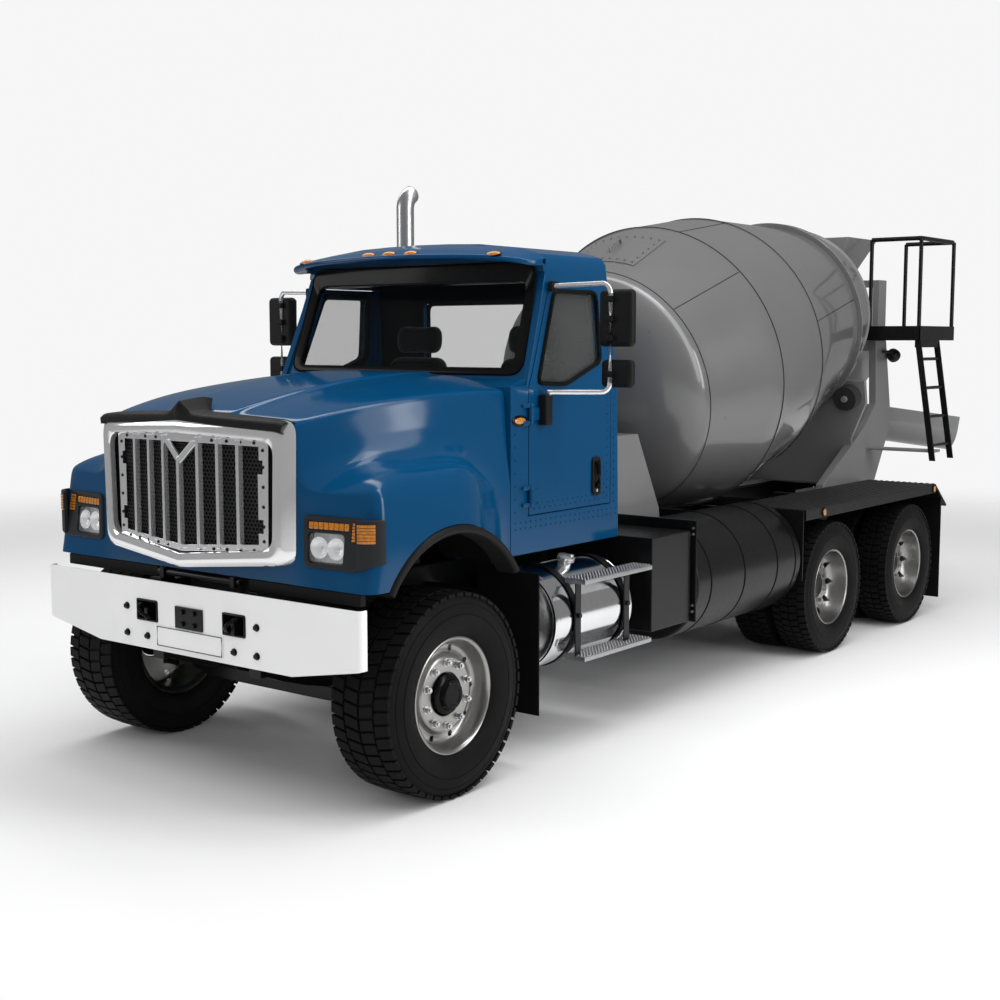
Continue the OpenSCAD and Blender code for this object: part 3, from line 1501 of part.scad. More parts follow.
module ladder() {
    top_x = plat_x1 - 60;
    half = stringer_t / 2;
    color(black) placed() {
        for (y = [ladder_y0, ladder_y1])
            cross_plate(y - half, y + half) polygon([[ladder_foot_x, ladder_low],
                [ladder_foot_x + stringer_w, ladder_low], [top_x + stringer_w, ladder_top],
                [top_x, ladder_top]]);
        for (i = [0:rung_count - 1]) {
            z = mix(ladder_low + 130, ladder_top - 160, i / (rung_count - 1));
            x = mix(ladder_foot_x, top_x, (z - ladder_low) / (ladder_top - ladder_low)) + stringer_w / 2;
            bar([x, ladder_y0, z], [x, ladder_y1, z], 14);
        }
        block([top_x, ladder_y0 - half, ladder_top - 60], [top_x + stringer_w, ladder_y1 + half, ladder_top]);
    }
}

// Chute and the yoke that carries it
tilt_pin_r = 18;
tilt_z = 1690;
chute_side = 110;
chute_back = 170;

// A shape in the chute's frame: x runs down the parked chute, from its pivot post
module at_chute() {
    translate([0, chute_pivot_y, 0]) rotate([0, 0, 90 - chute_swing]) children();
}

module chute_yoke() {
    w = chute_r + chute_wall + run_gap;
    color(black) placed() at_chute() difference() {
        union() {
            translate([0, 0, pivot_low + seat_gap]) cylinder(r = pivot_r + 26, h = yoke_h);
            for (s = [-1, 1]) {
                block([-60, s > 0 ? w : -w - 22, pivot_low + 40], [60, s > 0 ? w + 22 : -w, tilt_z + 40]);
            }
            block([-60, -w - 22, pivot_low + 40], [60, w + 22, pivot_low + 70]);
        }
        translate([0, 0, pivot_low - past]) cylinder(r = pivot_r + seat_gap, h = yoke_h + 2 * past);
        translate([0, 0, tilt_z]) rotate([90, 0, 0])
            cylinder(r = tilt_pin_r + seat_gap, h = 4 * chute_r, center = true);
    }
}

// Cross section of the chute, rounded below and straight above
module trough(r) {
    circle(r);
    translate([-r, 0]) square([2 * r, 2 * r]);
}

module chute() {
    w = chute_r + chute_wall;
    color(grey) placed() at_chute() translate([0, 0, tilt_z]) rotate([0, chute_slope, 0]) {
        difference() {
            translate([-chute_back, 0, 0]) rotate([90, 0, 90])
                linear_extrude(chute_len + chute_back) trough(w);
            translate([-chute_back - past, 0, 0]) rotate([90, 0, 90])
                linear_extrude(chute_len + chute_back + 2 * past) trough(chute_r);
            block([-chute_len, -2 * w, chute_side], [2 * chute_len, 2 * w, 4 * w]);
        }
        for (s = [-1, 1]) translate([0, s * (w - chute_wall + 3), 0]) rotate([s > 0 ? -90 : 90, 0, 0])
            cylinder(r = tilt_pin_r, h = chute_wall + run_gap + 19);
    }
}

frame_rails();
bumper();
tow_gear();
engine();
drive_shafts();
front_axle();
leaf_springs();
rear_axles();
walking_beams();
cab_shell();
cab_visor();
cab_glass();
seats();
dashboard();
hood();
hood_hinge();
arch_flares();
grille_surround();
grille_insert();
headlamps();
door_left();
door_right();
door_glass_left();
door_glass_right();
mirror_left();
mirror_right();
fuel_tanks();
tank_brackets();
steps();
water_tanks();
exhaust_stack();
mudflaps();
rear_decks();
tail_lamps();
front_pedestal();
drum_drive();
drum();
drum_roller_left();
drum_roller_right();
rear_pedestal();
charge_hopper();
collector();
platform();
ladder();
chute_yoke();
chute();
knuckle_left();
knuckle_right();
front_tyre_left();
front_tyre_right();
front_rim_left();
front_rim_right();
twin_tyres_1_left();
twin_tyres_1_right();
twin_tyres_2_left();
twin_tyres_2_right();
twin_rims_1_left();
twin_rims_1_right();
twin_rims_2_left();
twin_rims_2_right();
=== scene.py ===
"""Looks of a conventional-cab concrete mixer truck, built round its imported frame.

Places are written in the truck's axle frame, in metres: x to the driver's side, y back from the front
axle and z up from the ground. The function place() moves them to the row frame.
"""

from __future__ import annotations

import json
import logging
import math
from dataclasses import dataclass, field
from enum import Enum
from typing import Callable, Iterable, Sequence

import bmesh
import bpy
from mathutils import Matrix, Vector


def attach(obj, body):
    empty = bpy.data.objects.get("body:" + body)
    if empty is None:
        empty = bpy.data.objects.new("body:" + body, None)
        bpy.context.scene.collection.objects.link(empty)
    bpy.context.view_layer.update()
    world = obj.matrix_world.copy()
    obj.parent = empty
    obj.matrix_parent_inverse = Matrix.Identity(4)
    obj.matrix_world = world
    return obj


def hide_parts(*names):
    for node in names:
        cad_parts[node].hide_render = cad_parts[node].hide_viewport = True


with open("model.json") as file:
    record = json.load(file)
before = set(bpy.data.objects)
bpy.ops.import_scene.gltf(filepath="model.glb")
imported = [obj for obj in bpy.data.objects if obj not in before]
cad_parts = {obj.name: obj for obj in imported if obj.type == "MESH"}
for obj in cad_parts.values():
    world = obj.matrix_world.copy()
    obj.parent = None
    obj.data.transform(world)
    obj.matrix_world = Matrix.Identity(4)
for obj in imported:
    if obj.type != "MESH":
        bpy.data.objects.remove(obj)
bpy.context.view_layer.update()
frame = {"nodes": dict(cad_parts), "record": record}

LOG = logging.getLogger("mixer_truck")

FRONT_AXLE_Y = -3.730
IMAGE_PX = 1000
MERGE = 1e-5

Object = bpy.types.Object
Socket = bpy.types.NodeSocket
Point = Sequence[float]
Pair = tuple[float, float]
Triple = tuple[float, float, float]


def place(x: float, y: float, z: float) -> Vector:
    """A point of the axle frame in the row frame."""
    return Vector((x, y + FRONT_AXLE_Y, z))


def mix(a: float, b: float, t: float) -> float:
    """The value the share t of the way from a to b."""
    return a + (b - a) * t


def on_line(line: Sequence[Pair], t: float) -> float:
    """The value at t of a line through points, held at its last one.

    Args:
        line: Points (place, value) in order.
        t: The place.

    Returns:
        The value there.
    """
    for (t0, v0), (t1, v1) in zip(line, line[1:]):
        if t <= t1:
            return mix(v0, v1, (t - t0) / (t1 - t0))
    return line[-1][1]


def rounded(corners: Sequence[Pair], reach: float, steps: int = 6) -> list[Pair]:
    """A polygon with its corners rounded.

    Args:
        corners: Its corners.
        reach: How far from a corner the rounding starts.
        steps: Facets of a corner.

    Returns:
        The points of the outline.
    """
    points: list[Pair] = []
    for i, corner in enumerate(corners):
        p, a, b = Vector(corner), Vector(corners[i - 1]), Vector(corners[(i + 1) % len(corners)])
        s, e = p + (a - p).normalized() * reach, p + (b - p).normalized() * reach
        for j in range(steps + 1):
            t = j / steps
            q = s * (1 - t) ** 2 + p * 2 * t * (1 - t) + e * t * t
            points.append((q.x, q.y))
    return points


class Side(Enum):
    """The two sides of the truck, as the sign of x."""

    LEFT = 1
    RIGHT = -1


class Plane(Enum):
    """Planes that flat outlines are drawn in."""

    SIDE = "yz"
    FRONT = "xz"
    PLAN = "xy"

    def point(self, u: float, v: float, depth: float) -> Vector:
        """The point (u, v) of the plane at a depth along its normal, in the axle frame."""
        if self is Plane.SIDE:
            return Vector((depth, u, v))
        if self is Plane.FRONT:
            return Vector((u, depth, v))
        return Vector((u, v, depth))

    @property
    def normal(self) -> Vector:
        """The plane's normal."""
        return {Plane.SIDE: Vector((1, 0, 0)), Plane.FRONT: Vector((0, 1, 0)), Plane.PLAN: Vector((0, 0, 1))}[self]


class Nodes:
    """A material's node tree with a Principled shader, and short ways to add to it."""

    def __init__(self, name: str) -> None:
        """Starts a new material with an empty tree, its shader and its coordinates.

        Args:
            name: Name of the material.
        """
        self.material = bpy.data.materials.new(name)
        self.material.use_nodes = True
        self.tree = self.material.node_tree
        self.tree.nodes.clear()
        self.output = self.tree.nodes.new("ShaderNodeOutputMaterial")
        self.shader = self.tree.nodes.new("ShaderNodeBsdfPrincipled")
        self.coords = self.tree.nodes.new("ShaderNodeTexCoord")
        self.link(self.shader.outputs["BSDF"], self.output.inputs["Surface"])

    def link(self, a: Socket, b: Socket) -> None:
        """Joins an output to an input."""
        self.tree.links.new(a, b)

    def set(self, **values: float | Sequence[float]) -> None:
        """Sets the shader's own sockets, named with underscores for spaces."""
        for key, value in values.items():
            self.shader.inputs[key.replace("_", " ")].default_value = value

    def noise(self, scale: float, detail: float, stretch: Point = (1, 1, 1)) -> Socket:
        """Noise on Object coordinates.

        Args:
            scale: Waves per metre.
            detail: Octaves.
            stretch: Scale of the pattern along each axis.

        Returns:
            The factor output.
        """
        mapping = self.tree.nodes.new("ShaderNodeMapping")
        mapping.inputs["Scale"].default_value = stretch
        self.link(self.coords.outputs["Object"], mapping.inputs["Vector"])
        node = self.tree.nodes.new("ShaderNodeTexNoise")
        node.inputs["Scale"].default_value = scale
        node.inputs["Detail"].default_value = detail
        self.link(mapping.outputs["Vector"], node.inputs["Vector"])
        return node.outputs["Fac"]

    def ramp(self, source: Socket, low: Point, high: Point,
             start: float = 0.3, end: float = 0.7) -> Socket:
        """Two colours blended by a factor.

        Args:
            source: The factor.
            low: Colour up to the start.
            high: Colour from the end on.
            start: Factor where the blend starts.
            end: Factor where it ends.

        Returns:
            The colour output.
        """
        node = self.tree.nodes.new("ShaderNodeValToRGB")
        node.color_ramp.elements[0].position = start
        node.color_ramp.elements[1].position = end
        node.color_ramp.elements[0].color = (*low, 1)
        node.color_ramp.elements[1].color = (*high, 1)
        self.link(source, node.inputs["Fac"])
        return node.outputs["Color"]

    def spread(self, source: Socket, low: float, high: float) -> Socket:
        """A factor spread over a range of values.

        Args:
            source: The factor.
            low: Value at nought.
            high: Value at one.

        Returns:
            The value output.
        """
        node = self.tree.nodes.new("ShaderNodeMapRange")
        node.inputs["To Min"].default_value = low
        node.inputs["To Max"].default_value = high
        self.link(source, node.inputs["Value"])
        return node.outputs["Result"]

    def bump(self, source: Socket, strength: float, distance: float) -> None:
        """A bump on the shader's normal, on top of the one that is there.

        Args:
            source: The height.
            strength: Share of the bump that shows.
            distance: Height of the bump, in metres.
        """
        node = self.tree.nodes.new("ShaderNodeBump")
        node.inputs["Strength"].default_value = strength
        node.inputs["Distance"].default_value = distance
        before = self.shader.inputs["Normal"].links
        if before:
            self.link(before[0].from_socket, node.inputs["Normal"])
        self.link(source, node.inputs["Height"])
        self.link(node.outputs["Normal"], self.shader.inputs["Normal"])


FINISHED = "_finish"


@dataclass(frozen=True)
class Finish:
    """A finish: its colour and gloss, with the fine grain and mottling that the real one has."""

    name: str
    slot: str
    colour: Triple
    roughness: float = 0.5
    roughness_spread: float = 0.06
    metallic: float = 0.0
    mottle: float = 0.08
    mottle_scale: float = 3.0
    grain_scale: float = 400.0
    grain: float = 0.05
    grain_depth: float = 0.0005
    stretch: Triple = (1, 1, 1)
    extras: tuple[tuple[str, float], ...] = ()

    def material(self) -> bpy.types.Material:
        """Builds the material, or gives the one that is there."""
        known = bpy.data.materials.get(self.name + FINISHED)
        return known if known else self.build().material

    def build(self) -> Nodes:
        """Builds the nodes of the finish."""
        n = Nodes(self.name + FINISHED)
        cloud = n.noise(self.mottle_scale, 4.0, self.stretch)
        low = tuple(c * (1 - self.mottle) for c in self.colour)
        high = tuple(min(1.0, c * (1 + self.mottle)) for c in self.colour)
        n.link(n.ramp(cloud, low, high), n.shader.inputs["Base Color"])
        rough = n.noise(self.mottle_scale * 6, 5.0, self.stretch)
        n.link(n.spread(rough, max(0.02, self.roughness - self.roughness_spread),
                        self.roughness + self.roughness_spread), n.shader.inputs["Roughness"])
        n.set(Metallic=self.metallic)
        for key, value in self.extras:
            n.set(**{key: value})
        if self.grain:
            n.bump(n.noise(self.grain_scale, 3.0, self.stretch), self.grain, self.grain_depth)
        return n


@dataclass(frozen=True)
class Glass(Finish):
    """Clear or tinted sheet glass and lenses."""

    alpha: float = 1.0
    ior: float = 1.45

    def build(self) -> Nodes:
        """Builds the nodes of the glass."""
        n = super().build()
        n.set(IOR=self.ior, Alpha=self.alpha)
        return n


@dataclass(frozen=True)
class Weave(Finish):
    """Woven cloth: crossed threads in the bump and a soft sheen."""

    threads: float = 900.0

    def build(self) -> Nodes:
        """Builds the nodes of the cloth."""
        n = super().build()
        for axis in ("X", "Y", "Z"):
            wave = n.tree.nodes.new("ShaderNodeTexWave")
            wave.bands_direction = axis
            wave.inputs["Scale"].default_value = self.threads / 20
            wave.inputs["Distortion"].default_value = 0.6
            n.link(n.coords.outputs["Object"], wave.inputs["Vector"])
            n.bump(wave.outputs["Fac"], 0.12, 0.0006)
        n.set(Sheen_Weight=0.25, Sheen_Roughness=0.5)
        return n


COAT = (("Specular_IOR_Level", 0.0), ("Coat_Weight", 0.8), ("Coat_Roughness", 0.12), ("Coat_IOR", 1.38))
SATIN = (("Specular_IOR_Level", 0.12),)
MATT = (("Specular_IOR_Level", 0.06),)
LENS = (("Coat_Weight", 1.0), ("Coat_Roughness", 0.03))

BLUE = Finish("blue_paint", "blue_paint", (0.0015, 0.052, 0.138), 0.32, 0.03, 0.0, 0.03, 1.5, 700, 0.015, 0.0003,
              extras=COAT)
WHITE = Finish("white_paint", "white_paint", (0.88, 0.88, 0.885), 0.34, 0.05, 0.0, 0.02, 2.5, 500, 0.03, 0.0004,
               extras=(("Specular_IOR_Level", 0.2), ("Coat_Weight", 0.4), ("Coat_Roughness", 0.1)))
DRUM_GREY = Finish("drum_paint", "drum_paint", (0.150, 0.150, 0.152), 0.3, 0.05, 0.25, 0.06, 1.2, 260, 0.03, 0.0006,
                   extras=(("Specular_IOR_Level", 0.1), ("Coat_Weight", 1.0), ("Coat_Roughness", 0.05),
                           ("Coat_IOR", 1.4)))
PALE_GREY = Finish("pale_grey_paint", "drum_paint", (0.205, 0.205, 0.208), 0.34, 0.05, 0.15, 0.04, 2.0, 260, 0.03,
                   0.0006, extras=(("Specular_IOR_Level", 0.1), ("Coat_Weight", 0.7), ("Coat_Roughness", 0.08)))
DARK_GREY = Finish("dark_grey_paint", "drum_paint", (0.03, 0.03, 0.031), 0.42, 0.06, 0.0, 0.08, 3.0, 300, 0.05,
                   extras=SATIN)
BLACK = Finish("black_steel", "black_steel", (0.005, 0.005, 0.0053), 0.36, 0.08, 0.0, 0.12, 4.0, 500, 0.05, 0.0005,
               extras=(("Specular_IOR_Level", 0.1), ("Coat_Weight", 0.3), ("Coat_Roughness", 0.22)))
GLOSS_BLACK = Finish("gloss_black", "black_steel", (0.004, 0.004, 0.0045), 0.25, 0.05, 0.0, 0.1, 3.0, 600, 0.02,
                     0.0003, extras=(("Specular_IOR_Level", 0.05), ("Coat_Weight", 0.14), ("Coat_Roughness", 0.08)))
PLASTIC = Finish("black_plastic", "black_plastic", (0.009, 0.009, 0.0095), 0.45, 0.06, 0.0, 0.08, 6.0, 1400, 0.18,
                 0.0004, extras=SATIN)
BEZEL = Finish("lamp_bezel", "black_plastic", (0.022, 0.023, 0.025), 0.38, 0.05, 0.0, 0.06, 6.0, 1200, 0.08, 0.0003,
               extras=SATIN)
RUBBER = Finish("black_rubber", "black_rubber", (0.005, 0.005, 0.005), 0.6, 0.08, 0.0, 0.15, 8.0, 900, 0.25, 0.0005,
                extras=MATT)
TYRE = Finish("tyre_rubber", "tyre_rubber", (0.0065, 0.0065, 0.0067), 0.5, 0.1, 0.0, 0.2, 5.0, 700, 0.25, 0.0007,
              extras=MATT)
ALUMINIUM = Finish("wheel_aluminium", "wheel_aluminium", (0.35, 0.346, 0.338), 0.3, 0.07, 1.0, 0.05, 8.0, 500, 0.06,
                   0.0004, (14, 1, 1))
POLISHED = Finish("polished_aluminium", "polished_aluminium", (0.8, 0.8, 0.81), 0.12, 0.04, 1.0, 0.03, 3.0, 300,
                  0.03, 0.0004, (1, 12, 1))
TREAD_PLATE = Finish("tread_plate", "polished_aluminium", (0.42, 0.42, 0.43), 0.36, 0.08, 1.0, 0.08, 9.0, 500,
                     0.1, 0.0005)
# Chrome is only 0.78 metallic, so a white diffuse share brightens it under the lamps: painted sheen standing in for
# reflected light.
CHROME = Finish("chrome_trim", "chrome_trim", (0.90, 0.90, 0.91), 0.07, 0.025, 0.78, 0.02, 4.0, 200, 0.01, 0.0003)
CAST = Finish("cast_engine", "cast_engine", (0.05, 0.05, 0.052), 0.6, 0.1, 0.3, 0.15, 9.0, 350, 0.4, 0.001,
              extras=MATT)
LAMP_SILVER = Finish("lamp_silver", "chrome_trim", (0.92, 0.92, 0.93), 0.22, 0.05, 0.35, 0.03, 9.0, 400, 0.03, 0.0003)
STEEL = Finish("bright_steel", "wheel_aluminium", (0.62, 0.62, 0.63), 0.32, 0.06, 1.0, 0.05, 10.0, 600, 0.05, 0.0003)
TINT = Glass("tinted_glass", "tinted_glass", (0.008, 0.010, 0.011), 0.02, 0.005, 0.0, 0.01, 2.0, 60, 0.0, 0.0001,
             alpha=0.14)
# The side glass has a pale grey diffuse colour that the lamps light up: painted reflection, greying the windows as
# reflected light would.
SIDE_GLASS = Glass("side_glass", "tinted_glass", (0.15, 0.155, 0.155), 0.02, 0.005, 0.0, 0.01, 2.0, 60, 0.0, 0.0001,
                   alpha=0.24)
CLEAR = Glass("clear_lens", "tinted_glass", (0.70, 0.72, 0.74), 0.03, 0.01, 0.0, 0.01, 2.0, 60, 0.0, 0.0001,
              alpha=0.08)
AMBER = Finish("amber_lens", "red_lens", (0.50, 0.17, 0.006), 0.2, 0.04, 0.0, 0.25, 60.0, 900, 0.2, 0.0005,
               extras=LENS)
RED = Finish("red_lens", "red_lens", (0.36, 0.007, 0.007), 0.2, 0.04, 0.0, 0.1, 30.0, 900, 0.2, 0.0005, extras=LENS)
MIRROR = Finish("mirror_silver", "chrome_trim", (0.9, 0.91, 0.92), 0.03, 0.01, 1.0, 0.01, 2.0, 100, 0.0, 0.0001)
CLOTH = Weave("seat_fabric", "seat_fabric", (0.014, 0.0155, 0.016), 0.85, 0.05, 0.0, 0.15, 12.0, 1500, 0.2, 0.0005,
              extras=MATT)
TRIM_GREY = Finish("cab_trim", "black_plastic", (0.008, 0.0085, 0.009), 0.6, 0.06, 0.0, 0.08, 6.0, 1200, 0.2, 0.0004,
                   extras=MATT)


class Shop:
    """Ways to make and shape meshes as by hand: primitives, edit-mode operators and applied modifiers."""

    OUTWARDS = (lambda: bpy.ops.mesh.select_all(action="SELECT"),
                lambda: bpy.ops.mesh.normals_make_consistent(inside=False))

    @staticmethod
    def drawn(name: str, points: Sequence[Point], edges: Sequence[Sequence[int]],
              faces: Sequence[Sequence[int]]) -> Object:
        """A new mesh drawn point by point, to be shaped further.

        Args:
            name: Name of the piece.
            points: Its points, in the row frame.
            edges: Pairs of points.
            faces: Rings of points.

        Returns:
            The new object.
        """
        mesh = bpy.data.meshes.new(name)
        mesh.from_pydata(points, edges, faces)
        obj = bpy.data.objects.new(name, mesh)
        bpy.context.collection.objects.link(obj)
        return obj

    @staticmethod
    def only(obj: Object) -> Object:
        """Leaves just this object selected and active."""
        bpy.ops.object.select_all(action="DESELECT")
        obj.select_set(True)
        bpy.context.view_layer.objects.active = obj
        return obj

    @staticmethod
    def settle(obj: Object) -> Object:
        """Puts the object's place, turn and scale into its mesh."""
        Shop.only(obj)
        bpy.ops.object.transform_apply(location=True, rotation=True, scale=True)
        return obj

    @staticmethod
    def edit(obj: Object, *steps: Callable[[], object]) -> Object:
        """Runs operators in edit mode with everything selected.

        Args:
            obj: The mesh.
            steps: Calls to run in order.

        Returns:
            The same object.
        """
        Shop.only(obj)
        bpy.ops.object.mode_set(mode="EDIT")
        bpy.ops.mesh.select_all(action="SELECT")
        for step in steps:
            step()
        bpy.ops.object.mode_set(mode="OBJECT")
        return obj

    @staticmethod
    def capped(obj: Object, fill: Callable[[], object] = bpy.ops.mesh.fill) -> Object:
        """Fills the open ends of a mesh and turns its faces outwards.

        Args:
            obj: The mesh.
            fill: The operator that fills an end.

        Returns:
            The same object.
        """
        return Shop.edit(obj, lambda: bpy.ops.mesh.remove_doubles(threshold=MERGE),
                         lambda: bpy.ops.mesh.select_all(action="DESELECT"),
                         lambda: bpy.ops.mesh.select_non_manifold(), lambda: fill(), *Shop.OUTWARDS)

    @staticmethod
    def apply(obj: Object) -> Object:
        """Applies all the modifiers of an object."""
        Shop.only(obj)
        for modifier in list(obj.modifiers):
            bpy.ops.object.modifier_apply(modifier=modifier.name)
        return obj

    @staticmethod
    def soften(obj: Object, width: float, segments: int = 2, angle: float = 35.0) -> Object:
        """Rounds the edges sharper than an angle.

        Args:
            obj: The mesh.
            width: Width of the rounding.
            segments: Facets across it.
            angle: Least angle of an edge that is rounded, in degrees.

        Returns:
            The same object.
        """
        bevel = obj.modifiers.new("edge", "BEVEL")
        bevel.width = width
        bevel.segments = segments
        bevel.limit_method = "ANGLE"
        bevel.angle_limit = math.radians(angle)
        bevel.use_clamp_overlap = len(obj.data.vertices) < 400
        return Shop.apply(obj)

    @staticmethod
    def smooth(obj: Object, angle: float = 35.0) -> Object:
        """Shades the faces smooth, except across edges sharper than an angle."""
        Shop.only(obj)
        bpy.ops.object.shade_smooth_by_angle(angle=math.radians(angle))
        return obj

    @staticmethod
    def even(obj: Object) -> Object:
        """Weighs the normals by the faces' areas, so flat faces beside rounded edges shade flat."""
        weigh = obj.modifiers.new("normals", "WEIGHTED_NORMAL")
        weigh.keep_sharp = True
        return Shop.apply(obj)

    @staticmethod
    def subdivide(obj: Object, levels: int) -> Object:
        """Subdivides the surface smoothly."""
        modifier = obj.modifiers.new("surface", "SUBSURF")
        modifier.levels = levels
        modifier.render_levels = levels
        return Shop.apply(obj)

    @staticmethod
    def box(name: str, low: Point, high: Point, round_by: float = 0.0, segments: int = 2) -> Object:
        """A box between two corners of the axle frame, with rounded edges.

        Args:
            name: Name of the piece.
            low: Lowest corner.
            high: Highest corner.
            round_by: Width of the edges' rounding.
            segments: Facets across the rounding.

        Returns:
            The new object.
        """
        a, b = Vector(low), Vector(high)
        middle = (a + b) / 2
        bpy.ops.object.select_all(action="DESELECT")
        bpy.ops.mesh.primitive_cube_add(size=1, location=place(*middle), scale=tuple(b - a))
        obj = Shop.settle(bpy.context.object)
        obj.name = name
        return Shop.soften(obj, round_by, segments) if round_by else obj

    @staticmethod
    def rod(name: str, p: Point, q: Point, radius: float, sides: int = 20, tip: float | None = None,
            round_by: float = 0.0) -> Object:
        """A round bar or cone between two points of the axle frame.

        Args:
            name: Name of the piece.
            p: Start.
            q: End.
            radius: Radius at the start.
            sides: Facets round it.
            tip: Radius at the end, where it differs.
            round_by: Width of the end edges' rounding.

        Returns:
            The new object.
        """
        a, b = place(*p), place(*q)
        along = b - a
        bpy.ops.object.select_all(action="DESELECT")
        turn = along.to_track_quat("Z", "Y").to_euler()
        bpy.ops.mesh.primitive_cone_add(vertices=sides, radius1=radius, radius2=radius if tip is None else tip,
                                        depth=along.length, location=(a + b) / 2, rotation=turn)
        obj = Shop.settle(bpy.context.object)
        obj.name = name
        return Shop.soften(obj, round_by, 2, 40) if round_by else obj

    @staticmethod
    def ball(name: str, centre: Point, radius: float, scale: Point = (1, 1, 1)) -> Object:
        """A ball, drawn out along the axes.

        Args:
            name: Name of the piece.
            centre: Its middle, in the axle frame.
            radius: Its radius.
            scale: How far it is drawn out along each axis.

        Returns:
            The new object.
        """
        bpy.ops.object.select_all(action="DESELECT")
        bpy.ops.mesh.primitive_uv_sphere_add(segments=16, ring_count=8, radius=radius, location=place(*centre),
                                             scale=scale)
        obj = Shop.settle(bpy.context.object)
        obj.name = name
        return obj

    @staticmethod
    def ring(name: str, centre: Point, axis: Point, radius: float, thick: float, sides: int = 48) -> Object:
        """A round ring about an axis.

        Args:
            name: Name of the piece.
            centre: Its middle, in the axle frame.
            axis: Direction of its axis.
            radius: From the middle to the ring's own middle.
            thick: Radius of the ring's section.
            sides: Facets round it.

        Returns:
            The new object.
        """
        bpy.ops.object.select_all(action="DESELECT")
        turn = Vector(axis).to_track_quat("Z", "Y").to_euler()
        bpy.ops.mesh.primitive_torus_add(location=place(*centre), rotation=turn, major_segments=sides,
                                         minor_segments=10, major_radius=radius, minor_radius=thick)
        obj = Shop.settle(bpy.context.object)
        obj.name = name
        return obj

    @staticmethod
    def lathe(name: str, profile: Iterable[Pair], origin: Point, axis: Point,
              steps: int = 96) -> Object:
        """A body of revolution.

        Args:
            name: Name of the piece.
            profile: Points (along the axis, radius); a closed ring is drawn by repeating the first point.
            origin: Where the axis starts, in the axle frame.
            axis: Direction of the axis.
            steps: Facets round it.

        Returns:
            The new object.
        """
        points = list(profile)
        closed = points[0] == points[-1]
        if closed:
            points.pop()
        edges = [(i, i + 1) for i in range(len(points) - 1)] + ([(len(points) - 1, 0)] if closed else [])
        obj = Shop.drawn(name, [(r, 0, a) for a, r in points], edges, [])
        Shop.edit(obj,
                  lambda: bpy.ops.mesh.spin(steps=steps, angle=2 * math.pi, center=(0, 0, 0), axis=(0, 0, 1)),
                  lambda: bpy.ops.mesh.select_all(action="SELECT"),
                  lambda: bpy.ops.mesh.remove_doubles(threshold=MERGE), *Shop.OUTWARDS)
        turn = Vector(axis).to_track_quat("Z", "Y").to_matrix().to_4x4()
        obj.matrix_world = Matrix.Translation(place(*origin)) @ turn
        return Shop.settle(obj)

    @staticmethod
    def plate(name: str, outline: Iterable[Pair], plane: Plane, start: float, end: float,
              round_by: float = 0.0, segments: int = 2) -> Object:
        """A flat outline extruded between two depths.

        Args:
            name: Name of the piece.
            outline: Points of the outline in its plane.
            plane: The plane it is drawn in.
            start: First depth along the plane's normal.
            end: Second depth.
            round_by: Width of the edges' rounding.
            segments: Facets across the rounding.

        Returns:
            The new object.
        """
        points = [place(*plane.point(u, v, start)) for u, v in outline]
        obj = Shop.drawn(name, points, [], [list(range(len(points)))])
        shift = plane.normal * (end - start)
        Shop.edit(obj, lambda: bpy.ops.mesh.extrude_region_move(TRANSFORM_OT_translate={"value": shift}),
                  *Shop.OUTWARDS)
        return Shop.soften(obj, round_by, segments) if round_by else obj

    @staticmethod
    def skin(name: str, rows: Sequence[Sequence[Vector]], thick: float = 0.0, close: bool = False,
             levels: int = 0) -> Object:
        """A curved sheet through rows of points.

        Args:
            name: Name of the piece.
            rows: Rows of points in the axle frame, all of one length.
            thick: Thickness, laid on the inner side.
            close: Whether each row is a closed ring.
            levels: Levels of smooth subdivision.

        Returns:
            The new object.
        """
        across = len(rows[0])
        points = [place(*p) for row in rows for p in row]
        span = across if close else across - 1
        faces = [(r * across + i, r * across + (i + 1) % across, (r + 1) * across + (i + 1) % across,
                  (r + 1) * across + i) for r in range(len(rows) - 1) for i in range(span)]
        obj = Shop.drawn(name, points, [], faces)
        Shop.edit(obj, lambda: bpy.ops.mesh.remove_doubles(threshold=MERGE), *Shop.OUTWARDS)
        if levels:
            Shop.subdivide(obj, levels)
        if thick:
            wall = obj.modifiers.new("wall", "SOLIDIFY")
            wall.thickness = thick
            wall.offset = -1
            Shop.apply(obj)
        return obj

    @staticmethod
    def bead(name: str, path: Sequence[Point], radius: float, close: bool = False, sides: int = 8) -> Object:
        """A round bead or pipe along a path of points, with mitred corners.

        Args:
            name: Name of the piece.
            path: Points in the axle frame.
            radius: Radius of the bead.
            close: Whether the path is a closed loop.
            sides: Facets round it.

        Returns:
            The new object.
        """
        points = [Vector(p) for p in path]
        count = len(points)
        rings: list[list[Vector]] = []
        normal = Vector((0, 0, 1))
        for i, p in enumerate(points):
            before = points[(i - 1) % count] if close or i else p
            after = points[(i + 1) % count] if close or i < count - 1 else p
            a, b = (p - before).normalized(), (after - p).normalized()
            along = (a + b).normalized()
            side = along.cross(normal)
            if side.length < 0.05:
                side = along.cross(Vector((1, 0, 0)))
            side.normalize()
            up = side.cross(along).normalized()
            widen = 1 / max(0.5, math.sqrt(max(0.25, (1 + a.dot(b)) / 2))) if a.length and b.length else 1.0
            rings.append([p + (side * math.cos(t) + up * math.sin(t)) * radius * widen
                          for t in (2 * math.pi * k / sides for k in range(sides))])
        if close:
            rings.append(rings[0])
        obj = Shop.skin(name, rings, close=True)
        return obj if close else Shop.capped(obj, bpy.ops.mesh.edge_face_add)

    @staticmethod
    def copy(obj: Object, name: str, matrix: Matrix) -> Object:
        """A copy with its own mesh; a mirrored one gets its faces turned back.

        Args:
            obj: The piece.
            name: Name of the copy.
            matrix: How the copy is moved.

        Returns:
            The copy.
        """
        twin = bpy.data.objects.new(name, obj.data.copy())
        bpy.context.collection.objects.link(twin)
        twin.data.transform(matrix)
        if matrix.determinant() < 0:
            twin.data.flip_normals()
        return twin

